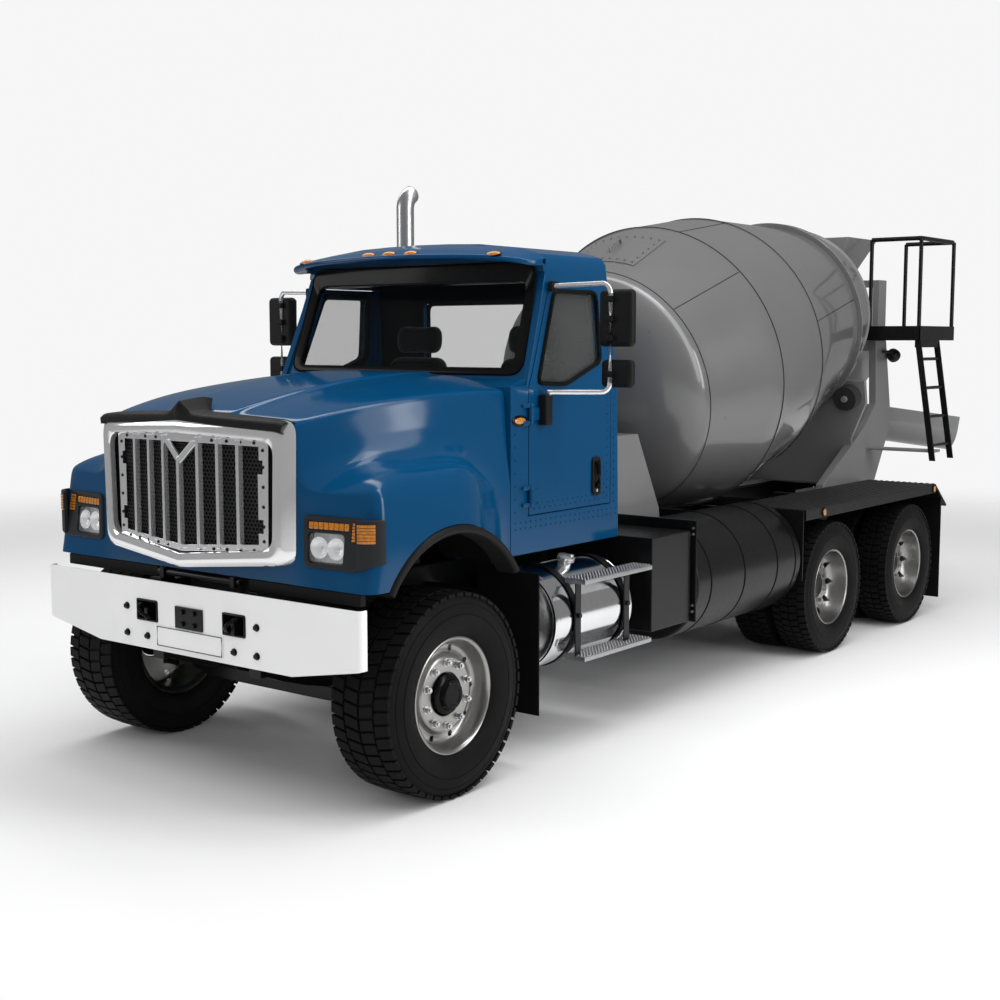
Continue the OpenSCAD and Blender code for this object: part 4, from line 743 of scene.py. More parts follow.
    @staticmethod
    def join(objs: Sequence[Object], name: str) -> Object:
        """Several objects as one mesh."""
        bpy.ops.object.select_all(action="DESELECT")
        for obj in objs:
            obj.select_set(True)
        bpy.context.view_layer.objects.active = objs[0]
        if len(objs) > 1:
            bpy.ops.object.join()
        objs[0].name = name
        return objs[0]

    @staticmethod
    def around(obj: Object, count: int, centre: Point, axis: Point, name: str) -> Object:
        """A piece repeated evenly about an axis, as one mesh with the first.

        Args:
            obj: The piece.
            count: How often it stands there.
            centre: A point of the axis, in the axle frame.
            axis: Direction of the axis.
            name: Name of the whole.

        Returns:
            The whole.
        """
        pivot = place(*centre)
        twins = [obj]
        for i in range(1, count):
            turn = Matrix.Rotation(2 * math.pi * i / count, 4, Vector(axis))
            twins.append(Shop.copy(obj, name, Matrix.Translation(pivot) @ turn @ Matrix.Translation(-pivot)))
        return Shop.join(twins, name)

    @staticmethod
    def spread(obj: Object, shifts: Iterable[Point], name: str) -> Object:
        """A piece and its copies at the given shifts, as one mesh."""
        twins = [obj] + [Shop.copy(obj, name, Matrix.Translation(Vector(s))) for s in shifts]
        return Shop.join(twins, name)

    @staticmethod
    def other_side(obj: Object, name: str) -> Object:
        """The mirror image on the other side of the truck."""
        return Shop.copy(obj, name, Matrix.Scale(-1, 4, Vector((1, 0, 0))))

    @staticmethod
    def both(obj: Object, name: str) -> Object:
        """A piece and its mirror image as one mesh."""
        return Shop.join([obj, Shop.other_side(obj, name)], name)

    @staticmethod
    def cut(obj: Object, tool: Object) -> Object:
        """Cuts a tool out of a mesh and deletes the tool."""
        modifier = obj.modifiers.new("cut", "BOOLEAN")
        modifier.object = tool
        modifier.operation = "DIFFERENCE"
        modifier.solver = "EXACT"
        Shop.apply(obj)
        bpy.data.objects.remove(tool, do_unlink=True)
        return obj

    @staticmethod
    def from_node(node: str, name: str, dissolve: bool = True) -> Object:
        """A merged copy of a CAD node's mesh, at the origin.

        Args:
            node: The node.
            name: Name of the copy.
            dissolve: Whether its flat facets are joined.

        Returns:
            The copy.
        """
        source = frame["nodes"][node]
        obj = bpy.data.objects.new(name, source.data.copy())
        bpy.context.collection.objects.link(obj)
        obj.data.materials.clear()
        Shop.edit(obj, lambda: bpy.ops.mesh.remove_doubles(threshold=2e-5))
        if dissolve:
            Shop.edit(obj, lambda: bpy.ops.mesh.dissolve_limited(angle_limit=math.radians(0.4)))
        return obj


def mount(obj: Object, body: str, finish: Finish, *replaced: str, angle: float = 35.0,
          weigh: bool = True) -> Object:
    """Dresses a finished piece and hands it to the frame.

    Args:
        obj: The piece.
        body: The body that it rides on.
        finish: Its finish.
        replaced: CAD nodes that it stands for.
        angle: Edges sharper than this stay sharp, in degrees.
        weigh: Whether the normals are weighed by the faces' areas.

    Returns:
        The same object.
    """
    obj.data.materials.clear()
    obj.data.materials.append(finish.material())
    for face in obj.data.polygons:
        face.material_index = 0
    Shop.smooth(obj, angle)
    if weigh:
        Shop.even(obj)
    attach(obj, body)
    if replaced:
        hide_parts(*replaced)
    LOG.info("%s on %s in %s", obj.name, body, finish.name)
    return obj


def mount_pair(obj: Object, body: str, finish: Finish, node: str = "") -> None:
    """Dresses a left piece and its mirror image, each on the body of its side.

    Args:
        obj: The left piece.
        body: The left body.
        finish: Their finish.
        node: The left CAD node that the left piece stands for, if any.
    """
    twin = Shop.other_side(obj, obj.name.replace("left", "right"))
    for piece, side in ((obj, "left"), (twin, "right")):
        mount(piece, body.replace("left", side), finish, *([node.replace("left", side)] if node else []))


@dataclass
class Studio:
    """Floor, lights, world and the camera at the photograph's viewpoint."""

    camera_at: Triple = (5.9184, -5.6689, 2.3672)
    yaw: float = 37.69
    pitch: float = 6.274
    focal_px: float = 1453.29
    sensor: float = 36.0
    backdrop: float = 0.925
    fill: float = 0.36
    shine: float = 0.24
    floor_radius: float = 16.0
    floor_shade: float = 0.80
    fade: Pair = (0.42, 0.95)

    def build(self) -> None:
        """Sets the whole studio up."""
        scene = bpy.context.scene
        scene.view_settings.view_transform = "Standard"
        self.camera()
        self.world()
        self.floor()
        self.lamp("overhead", (0.5, 1.5, 11.0), (0.5, 1.5, 0), (15, 20), 1250, mirrored=False)
        self.lamp("strip_left", (5.2, 2.5, 6.4), (0.4, 2.5, 1.6), (2.0, 13), 300)
        self.lamp("strip_top", (-1.6, 3.0, 8.0), (0.0, 3.0, 1.5), (1.2, 13), 190)
        self.lamp("front_left", (9.0, -9.5, 5.2), (0.4, 0.5, 1.2), (2.4, 6), 250, mirrored=False)
        self.lamp("front_right", (-9.5, -7.0, 5.0), (0, 1, 1.2), (4, 5), 200)
        self.lamp("side_panel", (11.5, 5.5, 4.2), (0.5, 4.0, 1.6), (2.2, 6), 260)

    def camera(self) -> None:
        """Adds the camera and makes it the scene's."""
        data = bpy.data.cameras.new("camera")
        data.sensor_width = self.sensor
        data.lens = self.focal_px / IMAGE_PX * self.sensor
        data.clip_end = 200
        obj = bpy.data.objects.new("camera", data)
        obj.location = place(*self.camera_at)
        obj.rotation_euler = (math.radians(90 - self.pitch), 0, math.radians(self.yaw))
        bpy.context.collection.objects.link(obj)
        bpy.context.scene.camera = obj

    def world(self) -> None:
        """A pale backdrop that gives a little light and shows dimmer in reflections."""
        world = bpy.data.worlds.new("studio")
        bpy.context.scene.world = world
        world.use_nodes = True
        tree = world.node_tree
        back = tree.nodes["Background"]
        path = tree.nodes.new("ShaderNodeLightPath")
        level: Socket | None = None
        for ray, gain in (("Is Camera Ray", 1.0 - self.fill), ("Is Transmission Ray", 1.0 - self.fill),
                          ("Is Glossy Ray", self.shine - self.fill)):
            term = tree.nodes.new("ShaderNodeMath")
            term.operation = "MULTIPLY_ADD"
            tree.links.new(path.outputs[ray], term.inputs[0])
            term.inputs[1].default_value = gain
            term.inputs[2].default_value = self.fill
            if level is not None:
                tree.links.new(level, term.inputs[2])
            level = term.outputs[0]
        tree.links.new(level, back.inputs["Strength"])
        back.inputs["Color"].default_value = (*[self.backdrop] * 3, 1)

    def floor(self) -> None:
        """A pale floor that keeps the shadow and fades into the backdrop."""
        bpy.ops.object.select_all(action="DESELECT")
        bpy.ops.mesh.primitive_circle_add(vertices=96, radius=self.floor_radius, fill_type="NGON",
                                          location=place(0, 3, 0))
        floor = Shop.settle(bpy.context.object)
        floor.name = "studio_floor"
        n = Nodes("pale_floor")
        n.set(Roughness=0.9, Specular_IOR_Level=0.0)
        n.shader.inputs["Base Color"].default_value = (*[self.floor_shade] * 3, 1)
        tree = n.tree
        gap = tree.nodes.new("ShaderNodeVectorMath")
        gap.operation = "DISTANCE"
        gap.inputs[1].default_value = place(0, 3, 0)
        n.link(n.coords.outputs["Object"], gap.inputs[0])
        fade = tree.nodes.new("ShaderNodeMapRange")
        fade.interpolation_type = "SMOOTHSTEP"
        fade.inputs["From Min"].default_value = self.floor_radius * self.fade[0]
        fade.inputs["From Max"].default_value = self.floor_radius * self.fade[1]
        n.link(gap.outputs["Value"], fade.inputs["Value"])
        clear = tree.nodes.new("ShaderNodeBsdfTransparent")
        blend = tree.nodes.new("ShaderNodeMixShader")
        n.link(fade.outputs["Result"], blend.inputs["Fac"])
        n.link(n.shader.outputs["BSDF"], blend.inputs[1])
        n.link(clear.outputs["BSDF"], blend.inputs[2])
        n.link(blend.outputs["Shader"], n.output.inputs["Surface"])
        floor.data.materials.append(n.material)

    def lamp(self, name: str, at: Point, towards: Point, size: Pair, power: float,
             mirrored: bool = True) -> None:
        """An area lamp that points at a place.

        Args:
            name: Name of the lamp.
            at: Where it hangs.
            towards: What it points at.
            size: Width and height.
            power: Power in watts.
            mirrored: Whether it shows in reflections.
        """
        data = bpy.data.lights.new(name, "AREA")
        data.shape = "RECTANGLE"
        data.size, data.size_y = size
        data.energy = power
        obj = bpy.data.objects.new(name, data)
        obj.location = place(*at)
        obj.visible_glossy = mirrored
        obj.rotation_euler = (place(*towards) - place(*at)).to_track_quat("-Z", "Y").to_euler()
        bpy.context.collection.objects.link(obj)


@dataclass
class RefinedNodes:
    """CAD nodes whose shape is right: merged copies with rounded edges and real finishes."""

    finishes: dict[str, tuple[Finish, float]] = field(default_factory=lambda: {
        "frame_rails": (BLACK, 0.004), "tow_gear": (BLACK, 0.003), "engine": (CAST, 0.02),
        "drive_shafts": (BLACK, 0.004), "front_axle": (BLACK, 0.008), "leaf_springs": (BLACK, 0.003),
        "rear_axles": (BLACK, 0.006), "walking_beams": (BLACK, 0.008), "cab_shell": (BLUE, 0.004),
        "cab_glass": (TINT, 0.0), "dashboard": (TRIM_GREY, 0.012),
        "hood_hinge": (BLACK, 0.004),
        "door_left": (BLUE, 0.004), "door_right": (BLUE, 0.004), "door_glass_left": (SIDE_GLASS, 0.0),
        "door_glass_right": (SIDE_GLASS, 0.0), "tank_brackets": (BLACK, 0.006),
        "water_tanks": (BLACK, 0.02), "exhaust_stack": (STEEL, 0.003), "mudflaps": (RUBBER, 0.003),
        "rear_decks": (BLACK, 0.004), "tail_lamps": (RED, 0.006), "front_pedestal": (PALE_GREY, 0.006),
        "drum_drive": (PALE_GREY, 0.01), "drum_roller_left": (DARK_GREY, 0.004),
        "drum_roller_right": (DARK_GREY, 0.004), "rear_pedestal": (PALE_GREY, 0.006),
        "charge_hopper": (PALE_GREY, 0.003),
        "collector": (PALE_GREY, 0.003), "ladder": (BLACK, 0.003),
        "chute_yoke": (BLACK, 0.005), "chute": (PALE_GREY, 0.003), "knuckle_left": (BLACK, 0.006),
        "knuckle_right": (BLACK, 0.006)})

    def body_of(self, node: str) -> str:
        """The body that a CAD node rides on."""
        bodies = frame["record"]["behaviour"]["bodies"]
        return next(name for name, nodes in bodies.items() if node in nodes)

    def open_window(self, obj: Object, side: int) -> None:
        """Clears a door's window from face to face.

        Args:
            obj: The door.
            side: One for the left, minus one for the right.
        """
        outline = ((1.048, 2.122), (1.328, 2.110), (1.702, 2.2385), (1.695, 2.655), (1.2615, 2.655))
        x0, x1 = sorted((0.80 * side, 1.10 * side))
        Shop.cut(obj, Shop.plate("cut", outline, Plane.SIDE, x0, x1))

    def build(self, skip: set[str]) -> None:
        """Builds the copies of every node that no other class stands for.

        Args:
            skip: Nodes that have pieces of their own.
        """
        for node in frame["nodes"]:
            if node in skip:
                continue
            finish, width = self.finishes[node]
            clear = "glass" in node
            obj = Shop.from_node(node, node + "_dressed", not clear and node != "cab_shell")
            if node in ("door_left", "door_right"):
                self.open_window(obj, 1 if node == "door_left" else -1)
            if width:
                Shop.soften(obj, width, 2, 30)
            mount(obj, self.body_of(node), finish, node, weigh=not clear)


@dataclass
class Tyre:
    """A road tyre about the x axis: carcass with ringed sidewalls, and rows of slanted tread blocks."""

    centre: Triple
    radius: float
    width: float
    seat: float
    pitches: int = 50
    groove: float = 0.016
    skew: float = 0.55
    wall: tuple[Pair, ...] = (
        (0.76, 0.0), (0.83, 0.03), (0.905, 0.10), (0.955, 0.20), (0.985, 0.32), (1.0, 0.44), (1.0, 0.50),
        (0.984, 0.505), (0.984, 0.525), (0.997, 0.53), (0.985, 0.62), (0.962, 0.71), (0.958, 0.72), (0.945, 0.722),
        (0.943, 0.745), (0.953, 0.75), (0.935, 0.82), (0.915, 0.87), (0.885, 0.92))
    rows: tuple[Pair, ...] = ((-0.95, -0.52), (-0.47, -0.03), (0.03, 0.47), (0.52, 0.95))

    def carcass(self) -> Object:
        """The tyre's body without its tread blocks."""
        half = self.width / 2
        side = [(k * half, mix(self.seat, self.radius, u)) for k, u in self.wall]
        crown = [(0.84 * half, self.radius - self.groove - 0.006), (0.5 * half, self.radius - self.groove)]
        right = side + crown
        ring = [(-a, r) for a, r in right] + [(a, r) for a, r in reversed(right)]
        return Shop.lathe("tyre", ring + [ring[0]], self.centre, (1, 0, 0), 120)

    def block(self, row: Pair, shift: float) -> Object:
        """One slanted block of a row.

        Args:
            row: The block's span across the tread, as shares of half the width.
            shift: Its turn about the axle, as a share of the pitch.

        Returns:
            The new object.
        """
        half = self.width / 2
        pitch = 2 * math.pi / self.pitches
        x, y, z = self.centre
        points: list[Vector] = []
        for lift in (0, 1):
            for k, end in ((row[0], 0.0), (row[1], 0.0), (row[1], 0.8), (row[0], 0.8)):
                turn = pitch * (shift + end + self.skew * abs(k))
                r = self.radius - 0.008 * abs(k) ** 4 - (0.0 if lift else self.groove + 0.004)
                points.append(place(x + k * half, y + r * math.sin(turn), z + r * math.cos(turn)))
        faces = ((3, 2, 1, 0), (4, 5, 6, 7), (0, 1, 5, 4), (1, 2, 6, 5), (2, 3, 7, 6), (3, 0, 4, 7))
        obj = Shop.edit(Shop.drawn("tread", points, [], faces), *Shop.OUTWARDS)
        return Shop.soften(obj, 0.0022, 1)

    def build(self, name: str) -> Object:
        """The whole tyre as one mesh."""
        blocks = [self.block(row, 0.5 if i in (0, 3) else 0.0) for i, row in enumerate(self.rows)]
        tread = Shop.around(Shop.join(blocks, "tread"), self.pitches, self.centre, (1, 0, 0), "tread")
        return Shop.join([self.carcass(), tread], name)


@dataclass
class WheelDisc:
    """A wheel about the x axis: its turned rim with hand holes, nuts and hub."""

    centre: Triple
    profile: tuple[Pair, ...]
    hub: tuple[Pair, ...]
    hole_ring: float
    hole_x: float
    hole_r: float
    nut_x: float
    nut_ring: float = 0.1675
    nuts: int = 10

    def rim(self, name: str) -> Object:
        """The rim and disc, turned in one piece and drilled."""
        _, y, z = self.centre
        rim = Shop.lathe(name, self.profile + self.profile[:1], (0, y, z), (1, 0, 0), 96)
        up = z + self.hole_ring
        drill = Shop.rod("drill", (self.hole_x - 0.06, y, up), (self.hole_x + 0.06, y, up), self.hole_r, 16)
        drill = Shop.around(drill, self.nuts, (0, y, z), (1, 0, 0), "drill")
        turn = Matrix.Rotation(math.pi / self.nuts, 4, "X")
        pivot = place(0, y, z)
        drill.data.transform(Matrix.Translation(pivot) @ turn @ Matrix.Translation(-pivot))
        return Shop.cut(rim, drill)

    def nut_set(self, name: str) -> Object:
        """The wheel nuts on their washers, with the stud ends."""
        _, y, z = self.centre
        up = z + self.nut_ring
        turned = (("washer", -0.004, 0.005, 0.023, 20, 0.0015), ("nut", 0.004, 0.027, 0.0185, 6, 0.002),
                  ("stud", 0.02, 0.036, 0.0105, 14, 0.002))
        pieces = [Shop.rod(kind, (self.nut_x + start, y, up), (self.nut_x + end, y, up), r, sides, round_by=edge)
                  for kind, start, end, r, sides, edge in turned]
        return Shop.around(Shop.join(pieces, "nut"), self.nuts, (0, y, z), (1, 0, 0), name)

    def hub_cap(self, name: str) -> Object:
        """The hub's turned cover."""
        _, y, z = self.centre
        return Shop.lathe(name, self.hub, (0, y, z), (1, 0, 0), 48)


@dataclass
class FrontWheels:
    """The two steered wheels."""

    nodes: tuple[str, ...] = ("front_tyre_left", "front_tyre_right", "front_rim_left", "front_rim_right")

    def build(self) -> set[str]:
        """Builds both wheels and gives the nodes that they stand for."""
        centre = (1.070, 0.0, 0.544)
        disc = WheelDisc(
            centre,
            profile=((1.230, 0.306), (1.239, 0.307), (1.241, 0.300), (1.237, 0.290), (1.228, 0.284), (1.205, 0.278),
                     (1.170, 0.270), (1.154, 0.262), (1.147, 0.250), (1.147, 0.232), (1.154, 0.216), (1.176, 0.205),
                     (1.184, 0.196), (1.186, 0.186), (1.186, 0.128), (1.183, 0.116), (1.170, 0.112), (1.160, 0.118),
                     (1.135, 0.236), (1.133, 0.258), (1.125, 0.272), (0.930, 0.272), (0.912, 0.290), (0.905, 0.304),
                     (0.912, 0.306), (0.935, 0.2985), (1.205, 0.2985)),
            hub=((1.165, 0.108), (1.200, 0.106), (1.208, 0.098), (1.211, 0.082), (1.232, 0.076), (1.2390, 0.069),
                 (1.2400, 0.052), (1.2360, 0.048), (1.2355, 0.0)),
            hole_ring=0.240, hole_x=1.145, hole_r=0.0165, nut_x=1.185)
        tyre = Tyre(centre, 0.544, 0.400, 0.300, 50).build("front_tyre_left_rubber")
        rim = disc.rim("front_wheel_left_rim")
        nuts = disc.nut_set("front_wheel_left_nuts")
        hub = disc.hub_cap("front_wheel_left_hub")
        for obj, finish, node in ((tyre, TYRE, "front_tyre_left"), (rim, ALUMINIUM, "front_rim_left"),
                                  (nuts, STEEL, ""), (hub, GLOSS_BLACK, "")):
            mount_pair(obj, "front_wheel_left", finish, node)
        return set(self.nodes)


@dataclass
class TwinWheels:
    """The four pairs of rear wheels with their deep dishes."""

    axle: float = 4.519
    tandem: float = 1.475
    height: float = 0.503
    outer_x: float = 1.117
    pitch: float = 0.335

    def build(self) -> set[str]:
        """Builds all the rear wheels and gives the nodes that they stand for."""
        at = (self.outer_x, self.axle, self.height)
        outer = Tyre(at, 0.503, 0.280, 0.282, 54, skew=0.4).build("tyre")
        inner = Shop.copy(outer, "tyre", Matrix.Translation((-self.pitch, 0, 0)))
        tyres = Shop.join([outer, inner], "twin_tyres_1_left_rubber")
        disc = WheelDisc(
            at,
            profile=((1.222, 0.287), (1.232, 0.289), (1.236, 0.283), (1.230, 0.273), (1.205, 0.268), (1.165, 0.261),
                     (1.130, 0.252), (1.108, 0.240), (1.096, 0.226), (1.090, 0.208), (1.088, 0.196), (1.088, 0.118),
                     (1.072, 0.112), (1.070, 0.118), (1.070, 0.212), (1.050, 0.238), (0.800, 0.258), (0.670, 0.268),
                     (0.655, 0.284), (0.668, 0.2805), (0.80, 0.2805), (1.20, 0.2805)),
            hub=((1.072, 0.112), (1.104, 0.106), (1.112, 0.098), (1.114, 0.074), (1.119, 0.068), (1.1235, 0.060),
                 (1.1240, 0.0)),
            hole_ring=0.222, hole_x=1.093, hole_r=0.024, nut_x=1.087, nut_ring=0.160)
        rims = disc.rim("twin_wheels_1_left_rims")
        nuts = disc.nut_set("twin_wheels_1_left_nuts")
        hub = disc.hub_cap("twin_wheels_1_left_hub")
        for obj, finish, kind in ((tyres, TYRE, "tyres"), (rims, ALUMINIUM, "rims"), (nuts, STEEL, ""),
                                  (hub, BLACK, "")):
            for number in (2, 1):
                piece = obj
                if number == 2:
                    piece = Shop.copy(obj, obj.name.replace("_1_", "_2_"), Matrix.Translation((0, self.tandem, 0)))
                mount_pair(piece, f"rear_wheel_{number}_left", finish, f"twin_{kind}_{number}_left" if kind else "")
        return {f"twin_{kind}_{number}_{side}" for kind in ("tyres", "rims") for number in (1, 2)
                for side in ("left", "right")}


@dataclass
class Hood:
    """The tilting hood: a smooth skin with raised middle, swelling fenders and swept fender fronts."""

    front: float = 0.622
    rear: float = 0.790
    low: float = 1.150
    nose_z: float = 1.985
    cowl_z: float = 2.180
    nose_x: float = 0.715
    cowl_x: float = 0.955
    fender_x: float = 1.205
    crest_z: float = 1.745
    sweep: float = 0.16
    arch: Triple = (0.034, 0.802, 0.628)
    stations: tuple[float, ...] = (0.0, 0.008, 0.022, 0.042, 0.07, 0.11, 0.16, 0.22, 0.28, 0.34, 0.40, 0.46, 0.52,
                                   0.58, 0.64, 0.70, 0.76, 0.82, 0.88, 0.94, 0.985, 1.0)

    def swept(self, x: float, z: float) -> float:
        """How far the front stands back at a point of the fender."""
        return self.sweep * max(0.0, abs(x) - 0.775) * min(1.0, max(0.0, (z - self.low) / 0.35))

    def half(self, t: float) -> list[Pair]:
        """Half a section from the middle to the lower edge.

        Args:
            t: Share of the hood's length.

        Returns:
            Points (x, z).
        """
        f = 1.0 if t < 0.52 else 0.5 + 0.5 * math.cos(math.pi * (t - 0.52) / 0.48)
        n = 1 - math.sqrt(max(0.0, 1 - (1 - t / 0.06) ** 2)) if t < 0.06 else 0.0
        rise = 1 - (1 - t) ** 2
        zc = mix(self.nose_z, self.cowl_z, rise) - 0.03 * n
        xs = mix(self.nose_x, self.cowl_x, rise) - 0.012 * n
        zs = zc - mix(0.034, 0.092, t)
        k = 1 - (1 - min(1.0, t / 0.28)) ** 2
        xk = xs + mix(0.135, 0.150, k) * mix(0.3, 1.0, f)
        zk = mix(1.560, self.crest_z - 0.125 * (1 - k), f)
        xo = mix(1.000, self.fender_x, f) - 0.07 * n
        zo = mix(1.430, self.crest_z - 0.110, f) - 0.045 * n
        xb = xo + 0.032 * f
        dome = mix(0.25, 0.40, t)
        return [(0.0, zc + 0.008), (dome - 0.016, zc + 0.007), (dome, zc + 0.004), (dome + 0.016, zc - 0.010),
                (mix(0.44, 0.62, t), zc - 0.012), (xs - 0.026, zs + 0.010), (xs - 0.003, zs - 0.006),
                (xs + 0.005, zs - 0.034), (mix(xs, xk, mix(0.2, 0.4, t)), mix(zs, zk, mix(0.82, 0.6, t))), (xk, zk),
                (mix(xk, xo, 0.4), mix(zk, zo, 0.14) + 0.008 * f), (mix(xk, xo, 0.86), mix(zk, zo, 0.44) + 0.012 * f),
                (xo, zo), (mix(xo, xb, 0.5), mix(zo, self.low, 0.12)), (xb, mix(zo, self.low, 0.55)),
                (xb, self.low + 0.03), (xb, self.low)]

    def inner(self) -> list[Pair]:
        """The edge of the front wall round the grille, point for point beside the section."""
        return [(0.0, 1.948), (0.22, 1.945), (0.25, 1.944), (0.28, 1.943), (0.44, 1.938), (0.640, 1.930),
                (0.685, 1.915), (0.695, 1.88), (0.695, 1.72), (0.694, 1.60), (0.693, 1.53), (0.692, 1.47),
                (0.691, 1.42), (0.690, 1.36), (0.690, 1.28), (0.690, 1.18), (0.690, 1.15)]

    def row(self, points: list[Pair], y: float, fade: float) -> list[Vector]:
        """A whole row across the hood from half of it."""
        right = [Vector((x, y + self.swept(x, z) * fade, z)) for x, z in points]
        left = [Vector((-p.x, p.y, p.z)) for p in reversed(right[1:])]
        return left + right

    def build(self) -> set[str]:
        """Builds the skin, the chin and the liners, and gives the nodes that they stand for."""
        edge, hole = self.half(0.0), self.inner()
        wall = [[(mix(a[0], b[0], k), mix(a[1], b[1], k)) for a, b in zip(edge, hole)]
                for k in (1.0, 0.94, 0.5, 0.06)]
        rows = [self.row(points, -self.front, 1.0) for points in wall]
        for t in self.stations:
            rows.append(self.row(self.half(t), mix(-self.front, self.rear, t), 1 - min(1.0, t / 0.12)))
        skin = Shop.skin("hood_skin", rows, thick=0.014, levels=2)
        y, z, r = self.arch
        for side in Side:
            tool = Shop.rod("arch", (0.64 * side.value, y, z), (1.4 * side.value, y, z), r, 128)
            Shop.cut(skin, tool)
            x0, x1 = sorted((0.822 * side.value, 1.052 * side.value))
            Shop.cut(skin, Shop.box("window", (x0, -0.75, 1.274), (x1, -0.50, 1.430), 0.020, 3))
        mount(skin, "hood", BLUE, "hood", angle=32)
        chin = Shop.plate("chin", ((-0.715, 1.150), (0.715, 1.150), (0.715, 1.30), (0.0, 1.24), (-0.715, 1.30)),
                          Plane.FRONT, -0.6215, -0.600, 0.004)
        mount(chin, "hood", BLUE)
        self.liners()
        return {"hood"}

    def liners(self) -> None:
        """Dark inner arches over the front wheels, and the lip under the hood's front."""
        y, z, r = self.arch
        steps = 28
        rows = []
        for x in (0.70, 0.98, 1.19):
            reach = r + 0.012
            rows.append([Vector((x, y - reach * math.cos(a), z + reach * math.sin(a)))
                         for a in (math.radians(34) + math.radians(112) * i / steps for i in range(steps + 1))])
        liner = Shop.skin("arch_liner", rows, thick=0.005)
        mount(Shop.both(liner, "arch_liners"), "hood", RUBBER)
        lip = Shop.box("valance", (0.36, -0.600, 1.082), (1.15, -0.560, 1.143), 0.006)
        mount(Shop.both(lip, "front_valance"), "chassis", PLASTIC)


@dataclass
class ArchFlares:
    """Black flares round the wheel arches, with a rolled lip."""

    centre: Pair = (0.034, 0.802)
    radius: float = 0.6275
    low: float = 1.152

    def build(self) -> set[str]:
        """Builds both flares and gives the node that they stand for."""
        y, z = self.centre
        start = math.asin((self.low - z) / self.radius)
        section = ((1.120, 0.0), (1.205, 0.0), (1.236, 0.004), (1.248, 0.014), (1.2525, 0.026), (1.248, 0.040),
                   (1.236, 0.050), (1.205, 0.052), (1.120, 0.052))
        steps = 56
        rows = []
        for i in range(steps + 1):
            a = mix(start - 0.02, math.pi - start + 0.02, i / steps)
            rows.append([Vector((x, y - (self.radius - d) * math.cos(a), z + (self.radius - d) * math.sin(a)))
                         for x, d in section])
        flare = Shop.skin("flare", rows, close=True)
        Shop.capped(flare)
        mount(Shop.both(flare, "arch_flares_rolled"), "hood", PLASTIC, "arch_flares", angle=40)
        return {"arch_flares"}


